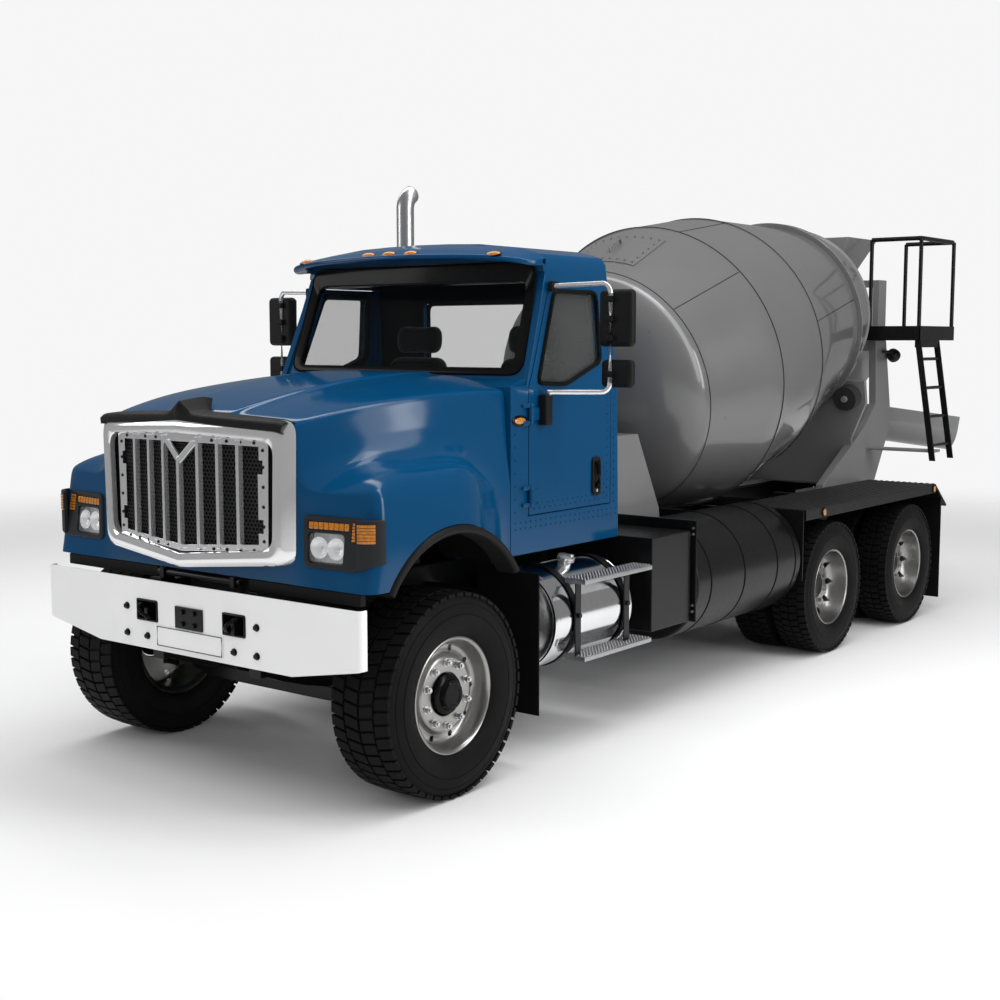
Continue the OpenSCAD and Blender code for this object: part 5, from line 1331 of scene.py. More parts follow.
@dataclass
class Grille:
    """Bowed chrome grille: surround, black cap, bolted inner frame, upright bars and honeycomb."""

    face: float = 0.648
    prow: float = 0.080
    half_low: float = 0.690
    half_top: float = 0.705
    low: float = 1.262
    top: float = 1.925
    bars: int = 7
    cell: float = 0.0135

    def bow(self, obj: Object) -> Object:
        """Bends a flat half or whole piece forwards to the grille's prow."""
        for v in obj.data.vertices:
            v.co.y -= self.prow * (1 - min(1.0, abs(v.co.x) / 0.715))
        return obj

    def halves(self, name: str, outline: Sequence[Pair], start: float, end: float,
               round_by: float) -> Object:
        """A bowed plate from its half outline, mirrored and joined in the middle.

        Args:
            name: Name of the piece.
            outline: Points (x, z) of the left half.
            start: Depth of its front.
            end: Depth of its back.
            round_by: Width of the edges' rounding.

        Returns:
            The new object.
        """
        half = Shop.plate(name, outline, Plane.FRONT, start, end)
        whole = Shop.both(half, name)
        Shop.edit(whole, lambda: bpy.ops.mesh.remove_doubles(threshold=MERGE))
        inside = [f for f in whole.data.polygons if all(abs(whole.data.vertices[i].co.x) < 1e-6 for i in f.vertices)]
        if inside:
            mesh = bmesh.new()
            mesh.from_mesh(whole.data)
            mesh.faces.ensure_lookup_table()
            bmesh.ops.delete(mesh, geom=[mesh.faces[f.index] for f in inside], context="FACES_ONLY")
            mesh.to_mesh(whole.data)
            mesh.free()
        self.bow(whole)
        return Shop.soften(whole, round_by, 3, 40)

    def loop(self, grow: float) -> list[Vector]:
        """The grille's outline drawn outwards, with rounded corners, as points at depth nought."""
        foot = min(grow, 0.012)
        corners = [(0.0, self.low - 0.062 - foot), (self.half_low + grow, self.low - foot),
                   (self.half_top + grow, self.top + grow), (0.0, self.top + 0.030 + grow),
                   (-self.half_top - grow, self.top + grow), (-self.half_low - grow, self.low - foot)]
        points: list[Vector] = []
        for i, corner in enumerate(corners):
            p, a, b = Vector(corner), Vector(corners[i - 1]), Vector(corners[(i + 1) % 6])
            if abs(p.x) < 1e-6:
                points.append(Vector((p.x, 0, p.y)))
                continue
            reach = 0.075
            s, e = p + (a - p).normalized() * reach, p + (b - p).normalized() * reach
            for j in range(7):
                t = j / 6
                q = s * (1 - t) ** 2 + p * 2 * t * (1 - t) + e * t * t
                points.append(Vector((q.x, 0, q.y)))
        return points

    def surround(self) -> Object:
        """The chrome frame: a flat lip that rolls over to flared sides."""
        sections = ((-0.062, 0.010), (-0.062, -0.022), (-0.056, -0.030), (-0.030, -0.034), (-0.014, -0.032),
                    (-0.002, -0.026), (0.012, -0.014), (0.028, 0.002), (0.040, 0.016), (0.045, 0.0255))
        rows = []
        for grow, depth in sections:
            rows.append([Vector((p.x, -self.face + depth, p.z)) for p in self.loop(grow)])
        rows.append(rows[0])
        frame_piece = Shop.skin("grille_frame", rows, close=True)
        self.bow(frame_piece)
        return frame_piece

    def mesh_panel(self) -> Object:
        """The honeycomb behind the bars."""
        size = self.cell
        wide, tall = math.sqrt(3) * size, 1.5 * size
        points: list[Vector] = []
        faces: list[list[int]] = []
        for row in range(int(0.60 / tall)):
            for column in range(-int(0.56 / wide), int(0.56 / wide) + 1):
                x = column * wide + (wide / 2 if row % 2 else 0)
                z = 1.295 + row * tall
                faces.append(list(range(len(points), len(points) + 6)))
                for k in range(6):
                    a = math.radians(60 * k + 30)
                    points.append(place(x + size * math.cos(a), -0.628, z + size * math.sin(a)))
        obj = Shop.drawn("honeycomb", points, [], faces)
        Shop.edit(obj, lambda: bpy.ops.mesh.remove_doubles(threshold=5e-5),
                  lambda: bpy.ops.mesh.inset(thickness=0.0026, use_individual=True),
                  lambda: bpy.ops.mesh.delete(type="FACE"))
        self.bow(obj)
        wall = obj.modifiers.new("wall", "SOLIDIFY")
        wall.thickness = 0.005
        return Shop.apply(obj)

    def inner_frame(self) -> Object:
        """The bright bolted frame with its notched sides and the fork in the middle."""
        outer = ((0.0, 1.272), (0.580, 1.312), (0.590, 1.872), (0.0, 1.890))
        inside = ((0.0, 1.306), (0.520, 1.342), (0.520, 1.40), (0.552, 1.40), (0.552, 1.47), (0.520, 1.47),
                  (0.520, 1.70), (0.552, 1.70), (0.552, 1.77), (0.528, 1.77), (0.528, 1.838), (0.0, 1.846))
        ring = list(outer) + list(reversed(inside))
        plate = self.halves("inner_frame", ring, -0.648, -0.643, 0.0016)
        arm = ((0.0, 1.722), (0.140, 1.852), (0.088, 1.852), (0.0, 1.772))
        fork = self.halves("fork", arm, -0.660, -0.644, 0.003)
        return Shop.join([plate, fork], "grille_inner_frame")

    def bar(self, x: float) -> Object:
        """One upright bar with a rounded face and pointed feet."""
        top = mix(1.880, 1.868, abs(x) / 0.54) if abs(x) > 0.01 else 1.768
        low = mix(1.284, 1.318, abs(x) / 0.54)
        bar = Shop.box("bar", (x - 0.0095, -0.672, low), (x + 0.0095, -0.632, top), 0.007, 3)
        return self.bow(bar)

    def bolts(self) -> Object:
        """Dark bolt heads round the inner frame."""
        spots = [(x, 1.862 - 0.012 * abs(x)) for x in (-0.5, -0.41, -0.32, -0.22, 0.22, 0.32, 0.41, 0.5)]
        spots += [(x, 1.290 + 0.042 * abs(x))
                  for x in (-0.49, -0.4, -0.31, -0.22, -0.13, 0.13, 0.22, 0.31, 0.4, 0.49)]
        spots += [(s * 0.556, z) for s in (-1, 1) for z in (1.36, 1.435, 1.535, 1.635, 1.735, 1.82)]
        pieces = [Shop.rod("bolt", (x, -0.6475, z), (x, -0.653, z), 0.0095, 12, 0.007) for x, z in spots]
        return self.bow(Shop.join(pieces, "grille_bolts"))

    def cap(self) -> Object:
        """The black band over the surround with its peak in the middle."""
        steps = 40
        rows = []
        for i in range(steps + 1):
            x = mix(-0.708, 0.708, i / steps)
            peak = max(0.0, 1 - abs(x) / 0.085)
            edge = max(0.0, (abs(x) - 0.66) / 0.085)
            base = self.top + 0.030 * (1 - abs(x) / 0.705) - 0.022 * edge ** 2
            y = -self.face - 0.80 * self.prow * (1 - min(1.0, abs(x) / 0.715))
            rows.append([Vector((x, y + 0.012, base - 0.004)), Vector((x, y - 0.038, base - 0.008)),
                         Vector((x, y - 0.040, base + 0.026 + 0.030 * peak)),
                         Vector((x, y - 0.016, base + 0.044 + 0.058 * peak)),
                         Vector((x, -0.600 + 0.03 * peak, base + 0.050 + 0.070 * peak - 0.012 * edge)),
                         Vector((x, -0.585 + 0.09 * peak, base + 0.040 + 0.070 * peak)),
                         Vector((x, -0.600, base + 0.006))])
        band = Shop.skin("grille_cap", rows, close=True)
        return Shop.soften(Shop.capped(band), 0.004, 2, 40)

    def build(self) -> set[str]:
        """Builds the grille and gives the nodes that it stands for."""
        mount(self.surround(), "hood", CHROME, "grille_surround", angle=40)
        mount(self.cap(), "hood", PLASTIC, angle=40)
        outline = ((0.0, 1.262), (0.640, 1.318), (0.650, 1.890), (0.0, 1.902))
        back = self.halves("grille_back", outline, -0.6245, -0.6225, 0.0005)
        mount(back, "hood", RUBBER, "grille_insert")
        mount(self.mesh_panel(), "hood", DARK_GREY)
        mount(self.inner_frame(), "hood", CHROME)
        mount(self.bolts(), "hood", BLACK)
        xs = [mix(-0.54, 0.54, i / (self.bars + 1)) for i in range(1, self.bars + 1)]
        bars = Shop.join([self.bar(x) for x in xs], "grille_bars")
        mount(bars, "hood", CHROME)
        return {"grille_surround", "grille_insert"}


@dataclass
class Headlamps:
    """Dark bezels set in the swept fender fronts, with twin lenses, an amber strip and a side reflector."""

    low: float = 1.250
    top: float = 1.512
    inner_x: float = 0.792
    outer_x: float = 1.153
    beams: Pair = (0.884, 0.990)
    hood: Hood = field(default_factory=Hood)

    def swept(self, obj: Object) -> Object:
        """Moves a piece drawn on the flat front back to the swept front."""
        for v in obj.data.vertices:
            v.co.y += self.hood.swept(v.co.x, v.co.z)
        return obj

    def rounded(self, x0: float, z0: float, x1: float, z1: float, r: float) -> list[Pair]:
        """A rectangle's outline with round corners."""
        points = []
        for cx, cz, a in ((x1 - r, z1 - r, 0), (x0 + r, z1 - r, 90), (x0 + r, z0 + r, 180), (x1 - r, z0 + r, 270)):
            for k in range(5):
                t = math.radians(a + 22.5 * k)
                points.append((cx + r * math.cos(t), cz + r * math.sin(t)))
        return points

    def bezel(self) -> Object:
        """The dark housing with its three windows cut in."""
        shell = Shop.plate("bezel", self.rounded(self.inner_x, self.low, self.outer_x, self.top, 0.035), Plane.FRONT,
                           -0.634, -0.560, 0.010, 3)
        for edges, depth in (((0.824, 1.276, 1.050, 1.428, 0.022), -0.585),
                             ((0.824, 1.440, 1.074, 1.486, 0.010), -0.612),
                             ((1.088, 1.392, 1.200, 1.490, 0.010), -0.622)):
            Shop.cut(shell, Shop.plate("cut", self.rounded(*edges), Plane.FRONT, -0.70, depth))
        return self.swept(Shop.soften(shell, 0.0025, 2, 40))

    def reflector(self, x: float) -> Object:
        """A bright bowl with a stepped edge behind the lens."""
        profile = ((0.0, 0.016), (0.006, 0.034), (0.016, 0.047), (0.026, 0.053), (0.028, 0.056), (0.030, 0.053),
                   (0.018, 0.043), (0.009, 0.030), (0.004, 0.010), (0.0, 0.016))
        bowl = Shop.lathe("bowl", profile, (x, -0.590, 1.352), (0, -1, 0), 32)
        return self.swept(bowl)

    def wrapped(self, name: str, low: float, top: float, start: float, end: float, proud: float) -> Object:
        """A curved strip round the fender's front corner.

        Args:
            name: Name of the strip.
            low: Height of its lower edge.
            top: Height of its upper edge.
            start: Turn where it starts, in degrees from straight ahead.
            end: Turn where it ends.
            proud: Radius of its outside.

        Returns:
            The strip.
        """
        rows = []
        for k in range(13):
            a = math.radians(mix(start, end, k / 12))
            rise = 0.045 * max(0.0, math.sin(a) - 0.3) if top - low > 0.1 else 0.0
            row = []
            for radius, z in ((proud - 0.020, low + rise), (proud - 0.003, low + rise), (proud, low + rise + 0.004),
                              (proud, top - 0.004), (proud - 0.003, top), (proud - 0.020, top)):
                row.append(Vector((1.132 + radius * math.sin(a), -0.510 - radius * math.cos(a), z)))
            rows.append(row + [row[0]])
        return Shop.capped(Shop.skin(name, rows))

    def build(self) -> set[str]:
        """Builds both lamps and gives the node that they stand for."""
        side = self.wrapped("bezel_side", 1.262, 1.508, 6, 84, 0.118)
        mount(Shop.both(side, "headlamp_bezel_sides"), "hood", BEZEL)
        steps = [(1.396 + 0.0155 * i, 1.4095 + 0.0155 * i) for i in range(6)]
        ribs = Shop.join([self.wrapped("rib", low, top, 12, 56, 0.1215) for low, top in steps], "ribs")
        mount(Shop.both(ribs, "headlamp_side_markers"), "hood", AMBER)
        mount(Shop.both(self.bezel(), "headlamp_bezels"), "hood", BEZEL, "headlamps")
        tray = Shop.plate("tray", self.rounded(0.826, 1.278, 1.048, 1.426, 0.020), Plane.FRONT, -0.588, -0.586)
        mount(Shop.both(self.swept(tray), "headlamp_trays"), "hood", LAMP_SILVER)
        bowls = Shop.join([self.reflector(x) for x in self.beams], "bowls")
        mount(Shop.both(bowls, "headlamp_reflectors"), "hood", LAMP_SILVER)
        eyes = [self.swept(Shop.ball("eye", (x, -0.606, 1.352), 0.024, (1, 0.6, 1))) for x in self.beams]
        mount(Shop.both(Shop.join(eyes, "eyes"), "headlamp_projectors"), "hood", CLEAR)
        outline = self.rounded(0.828, 1.280, 1.046, 1.424, 0.020)
        lens = Shop.plate("lens", outline, Plane.FRONT, -0.624, -0.6205, 0.0015)
        mount(Shop.both(self.swept(lens), "headlamp_lenses"), "hood", CLEAR)
        cells = []
        for i in range(8):
            x0 = 0.828 + i * 0.0305
            cells.append(Shop.box("cell", (x0, -0.632, 1.444), (x0 + 0.0275, -0.611, 1.482), 0.006, 2))
        ribs = [Shop.box("rib", (1.090, -0.634, low), (1.146, -0.621, top), 0.004, 2) for low, top in steps]
        amber = self.swept(Shop.join(cells + ribs, "amber"))
        mount(Shop.both(amber, "headlamp_markers"), "hood", AMBER)
        return {"headlamps"}


@dataclass
class Bumper:
    """The bumper: a folded steel shell with rounded ends, its pockets, bolts, shackles and a blank plate."""

    face: float = 0.690
    half: float = 1.227
    round_by: float = 0.028
    wall: float = 0.012
    top: float = 1.082
    low: float = 0.700
    end_low: float = 0.785
    kink: float = 0.760
    pocket: tuple[float, float, float, float] = (0.345, 0.912, 0.172, 0.117)

    def foot(self, x: float) -> float:
        """The lower edge's height at a place across the truck."""
        return mix(self.low, self.end_low, max(0.0, (abs(x) - self.kink) / (self.half - self.kink)))

    def plan(self) -> list[Pair]:
        """Half of the plan: from the middle out, round the corner and back along the end."""
        r = self.round_by
        points = [(self.half * k / 14, -self.face) for k in range(14)]
        points = [p for p in points if p[0] < self.half - r - 0.01] + [(self.kink, -self.face)]
        points.sort()
        points += [(self.half - r + r * math.sin(math.radians(a)), -self.face + r - r * math.cos(math.radians(a)))
                   for a in range(0, 91, 15)]
        return points + [(self.half, -self.face + 2 * r)]

    def shell(self) -> Object:
        """The shell with the pockets cut through it and its edges rolled."""
        half = self.plan()
        whole = [(-x, y) for x, y in reversed(half[1:])] + half
        rows = []
        for x, y in whole:
            low = self.foot(x)
            rows.append([(x, y, mix(low, self.top, k / 6)) for k in range(7)])
        obj = Shop.skin("bumper_shell", rows, thick=self.wall)
        px, pz, pw, ph = self.pocket
        for s in (-1, 1):
            Shop.cut(obj, Shop.box("cut", (s * px - pw / 2, -self.face - 0.1, pz - ph / 2),
                                   (s * px + pw / 2, -self.face + 0.1, pz + ph / 2), 0.012, 3))
        return Shop.soften(obj, 0.0045, 3, 40)

    def fittings(self) -> None:
        """Bolts, shackles and the blank number plate."""
        spots = [(s * x, z) for s in (-1, 1) for x, z in ((0.515, 0.920), (0.515, 0.772), (0.345, 0.772))]
        bolts = []
        y = -self.face
        for x, z in spots:
            bolts.append(Shop.rod("washer", (x, y - 0.004, z), (x, y + 0.004, z), 0.020, 20, round_by=0.001))
            bolts.append(Shop.rod("bolt", (x, y - 0.018, z), (x, y, z), 0.0145, 6, round_by=0.003))
        mount(Shop.join(bolts, "bumper_bolts"), "chassis", BLACK)
        plate = Shop.box("number_plate_blank", (-0.260, y - 0.008, 0.730), (0.260, y - 0.0005, 0.840), 0.003)
        mount(plate, "chassis", WHITE)
        path = [(x, y - 0.008, z) for x, z in ((-0.256, 0.734), (0.256, 0.734), (0.256, 0.836), (-0.256, 0.836))]
        mount(Shop.bead("number_plate_edge", path, 0.0025, close=True), "chassis", BLACK)
        heads = [Shop.rod("head", (x, y - 0.024, z), (x, y - 0.009, z), 0.0155, 6, round_by=0.003)
                 for x in (-0.045, 0.045) for z in (0.873, 0.937)]
        mount(Shop.join(heads, "tow_plate_bolts"), "chassis", BLACK)
        px, pz = self.pocket[:2]
        arc = [(px + 0.034 * math.cos(a), y - 0.006 - 0.045 * max(0.0, math.sin(a)), pz + 0.036 * math.cos(a * 0.9))
               for a in (math.radians(15 * i) for i in range(13))]
        mount(Shop.both(Shop.bead("shackle", arc, 0.010, sides=10), "tow_shackles"), "chassis", GLOSS_BLACK)

    def build(self) -> set[str]:
        """Builds the bumper and gives the node that it stands for."""
        mount(self.shell(), "chassis", WHITE, "bumper", angle=30)
        self.fittings()
        return {"bumper"}


@dataclass
class Cab:
    """Dressing of the cab: seals, marker lamps, rivets, handles and the windshield's surround."""

    half: float = 1.000
    belt: float = 2.110
    lean: float = 4.6
    screen_base: Pair = (0.985, 2.140)
    screen_lean: float = 19.0
    screen_h: float = 0.6557
    screen_half_low: float = 0.870
    screen_half_top: float = 0.843
    visor_back: float = 1.176
    window: tuple[Pair, ...] = ((1.050, 2.124), (1.328, 2.112), (1.700, 2.240), (1.693, 2.653),
                                               (1.2625, 2.653))

    def side_x(self, z: float) -> float:
        """The cab side's distance from the middle at a height."""
        return self.half - max(0.0, z - self.belt) * math.tan(math.radians(self.lean))

    def on_screen(self, x: float, depth: float, z: float) -> Vector:
        """A point on the leaning windshield, depth behind its face."""
        a = math.radians(self.screen_lean)
        return Vector((x, self.screen_base[0] + depth * math.cos(a) + z * math.sin(a),
                       self.screen_base[1] - depth * math.sin(a) + z * math.cos(a)))

    def screen_seal(self) -> None:
        """The dark printed band of the windshield, up to the visor, and the rubber round its opening."""
        low, top, h = self.screen_half_low, self.screen_half_top, self.screen_h

        def loop(side: float, foot: float, head: float, depth: float, reach: float) -> list[Vector]:
            """The opening's outline, grown by a side, a foot and a head, at a depth."""
            corners = ((-low - side, 0.060 - foot), (low + side, 0.060 - foot), (top + side * 0.8, h - 0.050 + head),
                       (-top - side * 0.8, h - 0.050 + head))
            points = [self.on_screen(x, depth, z) for x, z in rounded(corners, reach, 8)]
            return [Vector((p.x, min(p.y, 1.1760 + depth), p.z)) for p in points]

        rows = [loop(0.062, 0.030, 0.105, -0.009, 0.10), loop(0.058, 0.027, 0.101, -0.014, 0.10),
                loop(0.0, 0.0, 0.0, -0.016, 0.07), loop(-0.010, -0.010, -0.010, -0.012, 0.06),
                loop(-0.010, -0.010, -0.010, 0.010, 0.06), loop(0.062, 0.030, 0.105, 0.004, 0.10)]
        rows.append(rows[0])
        mount(Shop.skin("windshield_band", rows, close=True), "chassis", GLOSS_BLACK, angle=40)
        edge = Shop.bead("windshield_seal", loop(0.062, 0.030, 0.105, -0.010, 0.10), 0.008, close=True)
        mount(edge, "chassis", RUBBER)

    def lining(self) -> None:
        """Dark trim inside: headliner, rear wall and the doors' panels and window frames."""
        liner = Shop.box("headliner", (-0.860, 1.200, 2.738), (0.860, 1.770, 2.750), 0.004)
        mount(liner, "chassis", TRIM_GREY)
        low = Shop.box("rear_lining", (-0.925, 1.846, 1.260), (0.925, 1.854, 2.100), 0.003)

        def ring(grow: float, step: float) -> list[Vector]:
            """The rear window's outline, grown and a step ahead of the wall."""
            corners = ((-0.520 - grow, 2.170 - grow * 0.16), (0.520 + grow, 2.170 - grow * 0.16),
                       (0.500 + grow, 2.610 + grow * 0.34), (-0.500 - grow, 2.610 + grow * 0.34))
            return [Vector((x, mix(1.830, 1.783, (z - 2.110) / 0.65) - step, z))
                    for x, z in rounded(corners, 0.05, 5)]

        rows = [ring(0.375, 0.002), ring(0.375, 0.010), ring(-0.006, 0.010), ring(-0.006, 0.002)]
        rows.append(rows[0])
        mount(Shop.join([low, Shop.skin("surround", rows, close=True)], "rear_lining"), "chassis", TRIM_GREY)
        outline = rounded(((0.995, 1.395), (1.780, 1.395), (1.780, 2.085), (1.005, 2.085)), 0.05)
        panel = Shop.plate("door_panel_left", outline, Plane.SIDE, 0.9475, 0.9545, 0.003)
        path = [(self.side_x(z) - 0.052, y, z) for y, z in rounded(self.window, 0.045, 5)]
        frame_trim = Shop.bead("door_trim_left", path, 0.022, close=True, sides=10)
        for obj in (panel, frame_trim):
            mount_pair(obj, "door_left", TRIM_GREY)

    def window_seals(self) -> None:
        """Rubber round the door windows and the rear window."""
        path = [(self.side_x(z) + 0.003, y, z) for y, z in rounded(self.window, 0.045, 5)]
        mount_pair(Shop.bead("door_seal_left", path, 0.013, close=True), "door_left", RUBBER)
        corners = ((-0.520, 2.170), (0.520, 2.170), (0.500, 2.610), (-0.500, 2.610))

        def behind(z: float) -> float:
            """The rear wall's outside at a height."""
            return mix(1.880, 1.830, (z - 2.110) / 0.65) + 0.004

        path = [(x, behind(z), z) for x, z in rounded(corners, 0.06, 5)]
        mount(Shop.bead("rear_window_seal", path, 0.016, close=True), "chassis", RUBBER)

    def marker(self, name: str, at: Point, size: Point, tilt: float) -> tuple[Object, Object]:
        """A domed amber lamp on a dark foot.

        Args:
            name: Name of the lamp.
            at: Its middle.
            size: Half sizes of the dome.
            tilt: Turn about x, in degrees.

        Returns:
            The lens and the foot.
        """
        lens = Shop.ball(name, at, 1.0, size)
        foot = Shop.ball(name + "_foot", at, 1.0, (size[0] * 1.16, size[1] * 1.16, size[2] * 0.55))
        pivot = place(*at)
        turn = Matrix.Translation(pivot) @ Matrix.Rotation(math.radians(tilt), 4, "X") @ Matrix.Translation(-pivot)
        for obj in (lens, foot):
            obj.data.transform(turn)
        return lens, foot

    def visor_front(self, x: float) -> float:
        """The visor's front edge in plan."""
        line = ((0.0, 0.866), (0.200, 0.870), (0.400, 0.881), (0.600, 0.902), (0.748, 0.926), (0.850, 0.955),
                (0.905, 0.990), (0.938, 1.035), (0.955, 1.090), (0.963, 1.152))
        return on_line(line, abs(x))

    def visor_top(self, x: float, y: float) -> float:
        """The visor's upper face at a place in plan."""
        line = ((0.0, 0.0), (0.200, -0.003), (0.400, -0.012), (0.600, -0.026), (0.748, -0.042), (0.850, -0.064),
                (0.905, -0.080), (0.963, -0.112))
        ahead = self.visor_back - y
        roll = 0.020 * max(0.0, (ahead - 0.14) / 0.17) ** 2
        return 2.9465 + on_line(line, abs(x)) - ahead * math.tan(math.radians(11)) - roll

    def visor(self) -> None:
        """The visor: one rounded blade that rolls over at its front edge."""
        rows = []
        for i in range(49):
            x = 0.962 * math.sin(math.radians(mix(-90, 90, i / 48)))
            front, back, t = self.visor_front(x), self.visor_back, 0.034
            row = [(x, back, self.visor_top(x, back))]
            for k in range(1, 6):
                y = mix(back, front + 0.020, k / 5)
                row.append((x, y, self.visor_top(x, y)))
            nose = self.visor_top(x, front + 0.020) - t / 2
            row += [(x, front + 0.020 - 0.019 * math.sin(math.radians(a)), nose + t / 2 * math.cos(math.radians(a)))
                    for a in (25, 50, 75, 105, 130, 155, 180)]
            row += [(x, back, self.visor_top(x, back) - t)]
            rows.append([Vector(p) for p in row] + [Vector(row[0])])
        mount(Shop.capped(Shop.skin("visor_blade", rows)), "chassis", BLUE, "cab_visor", angle=45)

    def lamps(self) -> None:
        """Five amber lamps on the visor and an oval one ahead of each door."""
        lenses, feet = [], []
        for x in (-0.748, -0.169, 0.0, 0.169, 0.748):
            y = self.visor_front(x) + 0.034
            z = self.visor_top(x, y) - 0.004
            lens, foot = self.marker("roof_lamp", (x, y, z), (0.052, 0.029, 0.018), 26)
            lenses.append(lens)
            feet.append(foot)
        mount(Shop.join(lenses, "roof_lamps"), "chassis", AMBER)
        mount(Shop.join(feet, "roof_lamp_feet"), "chassis", GLOSS_BLACK)
        lens = Shop.ball("side_lamp", (1.001, 0.876, 1.915), 1.0, (0.015, 0.060, 0.022))
        foot = Shop.ball("side_lamp_foot", (1.000, 0.876, 1.915), 1.0, (0.011, 0.074, 0.033))
        mount(Shop.both(lens, "side_lamps"), "chassis", AMBER)
        mount(Shop.both(foot, "side_lamp_feet"), "chassis", GLOSS_BLACK)

    def rivets(self) -> None:
        """Rows of rivets on the doors and on the cab's sides."""
        def row(start: Pair, end: Pair, pitch: float) -> list[Pair]:
            """Even spots from a start to an end."""
            count = max(1, round(math.dist(start, end) / pitch))
            return [(mix(start[0], end[0], i / count), mix(start[1], end[1], i / count)) for i in range(count + 1)]

        def studs(name: str, spots: list[Pair]) -> Object:
            """A rivet at each spot of the cab's side, as one mesh."""
            first = Shop.rod(name, (self.half - 0.002, 0, 0), (self.half + 0.0045, 0, 0), 0.0075, 8, 0.004)
            first.data.transform(Matrix.Translation((0, spots[0][0], spots[0][1])))
            return Shop.spread(first, [(0, y - spots[0][0], z - spots[0][1]) for y, z in spots[1:]], name)

        door = row((1.770, 1.42), (1.770, 2.07), 0.05) + row((1.02, 1.405), (1.74, 1.405), 0.05)
        door += row((1.740, 1.44), (1.740, 1.60), 0.05) + row((1.05, 1.435), (1.71, 1.435), 0.05)
        mount_pair(studs("door_rivets_left", door), "door_left", BLUE)
        cab = row((0.84, 1.335), (1.87, 1.335), 0.05) + row((0.84, 1.30), (1.87, 1.30), 0.05)
        cab += row((1.845, 1.38), (1.845, 2.07), 0.05) + row((0.835, 1.40), (0.835, 1.84), 0.07)
        mount(Shop.both(studs("cab_rivets", cab), "cab_rivets"), "chassis", BLUE)

    def handles(self) -> None:
        """Recessed door handles."""
        outline = rounded(((1.600, 1.430), (1.690, 1.430), (1.690, 1.665), (1.600, 1.665)), 0.035, 5)
        dish = Shop.plate("handle_dish", outline, Plane.SIDE, 1.0, 1.013, 0.005, 3)
        hollow = rounded(((1.616, 1.448), (1.674, 1.448), (1.674, 1.647), (1.616, 1.647)), 0.022, 5)
        Shop.cut(dish, Shop.plate("cut", hollow, Plane.SIDE, 1.006, 1.05))
        lever = Shop.bead("lever", [(1.008, 1.645, 1.630), (1.022, 1.645, 1.615), (1.026, 1.645, 1.560),
                                    (1.024, 1.645, 1.505), (1.010, 1.645, 1.480)], 0.013, sides=10)
        lock = Shop.rod("lock", (1.005, 1.645, 1.462), (1.016, 1.645, 1.462), 0.010, 16, round_by=0.002)
        for obj, finish in ((dish, PLASTIC), (lever, GLOSS_BLACK), (lock, CHROME)):
            obj.name = f"door_{obj.name}_left"
            mount_pair(obj, "door_left", finish)

    def build(self) -> set[str]:
        """Builds all the cab's dressing and gives the node that it stands for."""
        self.screen_seal()
        self.window_seals()
        self.lining()
        self.visor()
        self.lamps()
        self.rivets()
        self.handles()
        return {"cab_visor"}


@dataclass
class Mirrors:
    """Chrome mirror tubes with two rounded heads a side."""

    post: Pair = (1.334, 1.290)
    top: float = 2.690
    low: float = 2.072

    def tube(self) -> Object:
        """The tube from the door's upper corner out, down behind the heads and back to the door."""
        x, y = self.post
        start, foot = Vector((0.975, 1.215, self.top - 0.012)), Vector((1.045, 1.100, self.low))
        path = [start, Vector((mix(start.x, x, 0.86), mix(start.y, y, 0.86), self.top - 0.002))]
        for k in range(1, 6):
            a = math.radians(18 * k)
            out = 0.86 + 0.14 * math.sin(a)
            path.append(Vector((mix(start.x, x, out), mix(start.y, y, out),
                                self.top - 0.002 - 0.055 * (1 - math.cos(a)))))
        for k in range(0, 6):
            a = math.radians(18 * k)
            out = 0.86 + 0.14 * math.cos(a)
            path.append(Vector((mix(foot.x, x, out), mix(foot.y, y, out), self.low + 0.055 * (1 - math.sin(a)))))
        path += [Vector((foot.x + 0.03, foot.y + 0.02, self.low)), foot, Vector((foot.x, foot.y, self.low - 0.05))]
        return Shop.bead("mirror_tube_left", path, 0.0145, sides=14)

    def heads(self) -> Object:
        """The two rounded shells and their clamps."""
        x, y = self.post
        big = Shop.box("head", (1.245, y + 0.004, 2.330), (1.472, y + 0.074, 2.655), 0.030, 4)
        small = Shop.box("head", (1.262, y + 0.004, 2.098), (1.472, y + 0.068, 2.257), 0.028, 4)
        pieces = [big, small]
        for z in (2.60, 2.49, 2.38, 2.175):
            pieces.append(Shop.box("clamp", (x - 0.024, y - 0.022, z - 0.018), (x + 0.024, y + 0.012, z + 0.018),
                                   0.006))
        pieces.append(Shop.box("bracket", (0.966, 1.190, self.top - 0.045), (1.000, 1.245, self.top + 0.016), 0.008))
        pieces.append(Shop.box("root", (1.0005, 1.052, 1.882), (1.060, 1.120, 2.060), 0.012, 3))
        return Shop.join(pieces, "mirror_heads_left")

    def glass(self) -> Object:
        """The mirror faces, set in the heads' rear."""
        y = self.post[1]
        big = Shop.box("face", (1.262, y + 0.0735, 2.348), (1.455, y + 0.0765, 2.637), 0.0012)
        small = Shop.box("face", (1.280, y + 0.0675, 2.114), (1.456, y + 0.0705, 2.241), 0.0012)
        return Shop.join([big, small], "mirror_faces_left")

    def build(self) -> set[str]:
        """Builds both mirrors and gives the nodes that they stand for."""
        for obj, finish, node in ((self.heads(), PLASTIC, "mirror_left"), (self.tube(), CHROME, ""),
                                  (self.glass(), MIRROR, "")):
            mount_pair(obj, "door_left", finish, node)
        return {"mirror_left", "mirror_right"}


